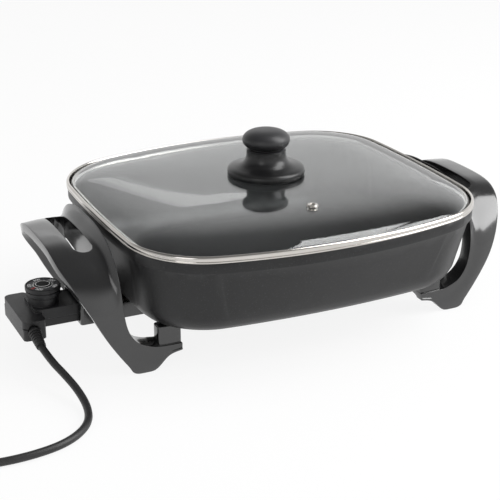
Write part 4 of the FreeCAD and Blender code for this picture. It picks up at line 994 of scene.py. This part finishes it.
# Lamps: name, place, aim, size and power, and the camera fitted to the photograph, from the middle of the pan
LAMPS = [
    ("key", (1.7, -0.9, 1.4), (0, 0, 0.05), (1.6, 1.6), 42),
    ("fill", (-1.5, -1.2, 1.0), (0, 0, 0.05), (0.8, 1.2), 4),
    ("overhead", (0.9, -0.2, 1.8), (0, 0, 0.1), (1.0, 0.6), 10),
    ("strip", (0.55, 2.2, 1.08), (0, 0, 0.1), (1.0, 0.08), 0.15),
]
CAMERA_PLACE = (-0.5693, -1.1647, 0.5826)
CAMERA_AIM = (-0.01875, 0, 0.0673)
FLOOR_SIZE, FLOOR_LEVEL, FLOOR_GLOW = 60, -0.0002, 0.88
SOFT_LIGHT = 0.5
# Mirrored surroundings are white low down, as a sweep is, and dimmer overhead and at the left: where the change
# starts and stops in the direction's upward and sideways parts, and the light before and after it
LIGHT_BY_HEIGHT = (0.34, 0.72, 1.0, 0.25)
LIGHT_BY_SIDE = (-0.9, 0.3, 0.55, 1.0)


class StageOperator(bpy.types.Operator):
    """Pale floor, soft studio lamps, white surroundings and the camera"""
    bl_idname = "skillet.stage"
    bl_label = "Stage"

    def execute(self, context):
        deselect()
        bpy.ops.mesh.primitive_plane_add(size=FLOOR_SIZE, location=(0, 0, FLOOR_LEVEL))
        floor = bpy.context.object
        floor.name = "studio_floor"
        material, tree, shader = new_material("studio floor")
        fill(shader, Roughness=0.9, Specular_IOR_Level=0.0, Base_Color=(*context.scene.skillet_colours.floor, 1))
        rays = tree.nodes.new("ShaderNodeLightPath").outputs
        seen = math_node("MAXIMUM", rays["Is Camera Ray"], rays["Is Glossy Ray"])
        seen = math_node("MAXIMUM", seen, rays["Is Transmission Ray"])
        mix_surface(math_node("MULTIPLY", seen, FLOOR_GLOW), shader, tree.nodes.new("ShaderNodeEmission"))
        dress(floor, material)
        self.surroundings(context)
        for lamp in LAMPS:
            self.lamp(*lamp)
        self.camera(context)
        context.scene.view_settings.view_transform = "Standard"
        return {"FINISHED"}

    def surroundings(self, context):
        """A white world that lights little and is mirrored softly."""
        world = bpy.data.worlds.new("white studio")
        context.scene.world = world
        world.use_nodes = True
        tree = world.node_tree
        rays = tree.nodes.new("ShaderNodeLightPath").outputs
        way = tree.nodes.new("ShaderNodeTexCoord").outputs["Generated"]
        parts = fill(tree.nodes.new("ShaderNodeSeparateXYZ"), Vector=way).outputs
        light = math_node("MULTIPLY", self.ramp(parts["Z"], *LIGHT_BY_HEIGHT), self.ramp(parts["X"], *LIGHT_BY_SIDE))
        camera, glossy = rays["Is Camera Ray"], rays["Is Glossy Ray"]
        mirrored = math_node("MULTIPLY", light, math_node("MULTIPLY", glossy, math_node("SUBTRACT", 1.0, camera)))
        through = math_node("MULTIPLY", rays["Is Transmission Ray"], math_node("SUBTRACT", 1.0, glossy))
        soft = math_node("MULTIPLY", rays["Is Diffuse Ray"], SOFT_LIGHT)
        fill(tree.nodes["Background"], Color=(1, 1, 1, 1),
             Strength=math_node("MAXIMUM", math_node("MAXIMUM", camera, through),
                                math_node("MAXIMUM", mirrored, soft)))

    def ramp(self, value, start, stop, first, last):
        """A smooth change from one level to another as a value runs from start to stop."""
        node = value.id_data.nodes.new("ShaderNodeMapRange")
        node.interpolation_type = "SMOOTHSTEP"
        return fill(node, Value=value, From_Min=start, From_Max=stop, To_Min=first, To_Max=last).outputs["Result"]

    def lamp(self, name, place, aim, size, power):
        """A soft rectangular lamp that faces its aim."""
        data = bpy.data.lights.new(name, "AREA")
        data.shape = "RECTANGLE"
        data.size, data.size_y = size
        data.energy = power
        lamp = add_object(name, data)
        lamp.location = place
        lamp.rotation_euler = (Vector(aim) - Vector(place)).to_track_quat("-Z", "Y").to_euler()

    def camera(self, context):
        """The camera, fitted to the photograph."""
        data = bpy.data.cameras.new("camera")
        data.lens = context.scene.skillet_sizes.lens
        data.sensor_width = 36
        camera = add_object("camera", data)
        place = Vector(CAMERA_PLACE) + Vector((MIDDLE_X, 0, 0))
        aim = Vector(CAMERA_AIM) + Vector((MIDDLE_X, 0, 0))
        camera.location = place
        camera.rotation_euler = (aim - place).to_track_quat("-Z", "Y").to_euler()
        context.scene.camera = camera


OPERATORS = (FinishesOperator, PanOperator, HandlesOperator, LidOperator, KnobOperator, ControlOperator,
             DialOperator, CordOperator, StageOperator)


class SkilletPanel(bpy.types.Panel):
    """Lists the skillet's pieces and values"""
    bl_idname = "VIEW3D_PT_skillet"
    bl_label = "Electric skillet"
    bl_space_type = "VIEW_3D"
    bl_region_type = "UI"
    bl_category = "Skillet"

    def draw(self, context):
        for values in (context.scene.skillet_sizes, context.scene.skillet_colours):
            for name in values.bl_rna.properties.keys():
                if name not in ("rna_type", "name"):
                    self.layout.prop(values, name)
        for operator in OPERATORS:
            self.layout.operator(operator.bl_idname)


CLASSES = (SkilletSizes, SkilletColours, *OPERATORS, SkilletPanel)


def register():
    for cls in CLASSES:
        bpy.utils.register_class(cls)
    bpy.types.Scene.skillet_sizes = PointerProperty(type=SkilletSizes)
    bpy.types.Scene.skillet_colours = PointerProperty(type=SkilletColours)


def unregister():
    del bpy.types.Scene.skillet_sizes
    del bpy.types.Scene.skillet_colours
    for cls in reversed(CLASSES):
        bpy.utils.unregister_class(cls)


def main():
    """Build every group of pieces and the stage."""
    register()
    for operator in OPERATORS:
        group, name = operator.bl_idname.split(".")
        getattr(getattr(bpy.ops, group), name)()


if __name__ == "__main__":
    main()
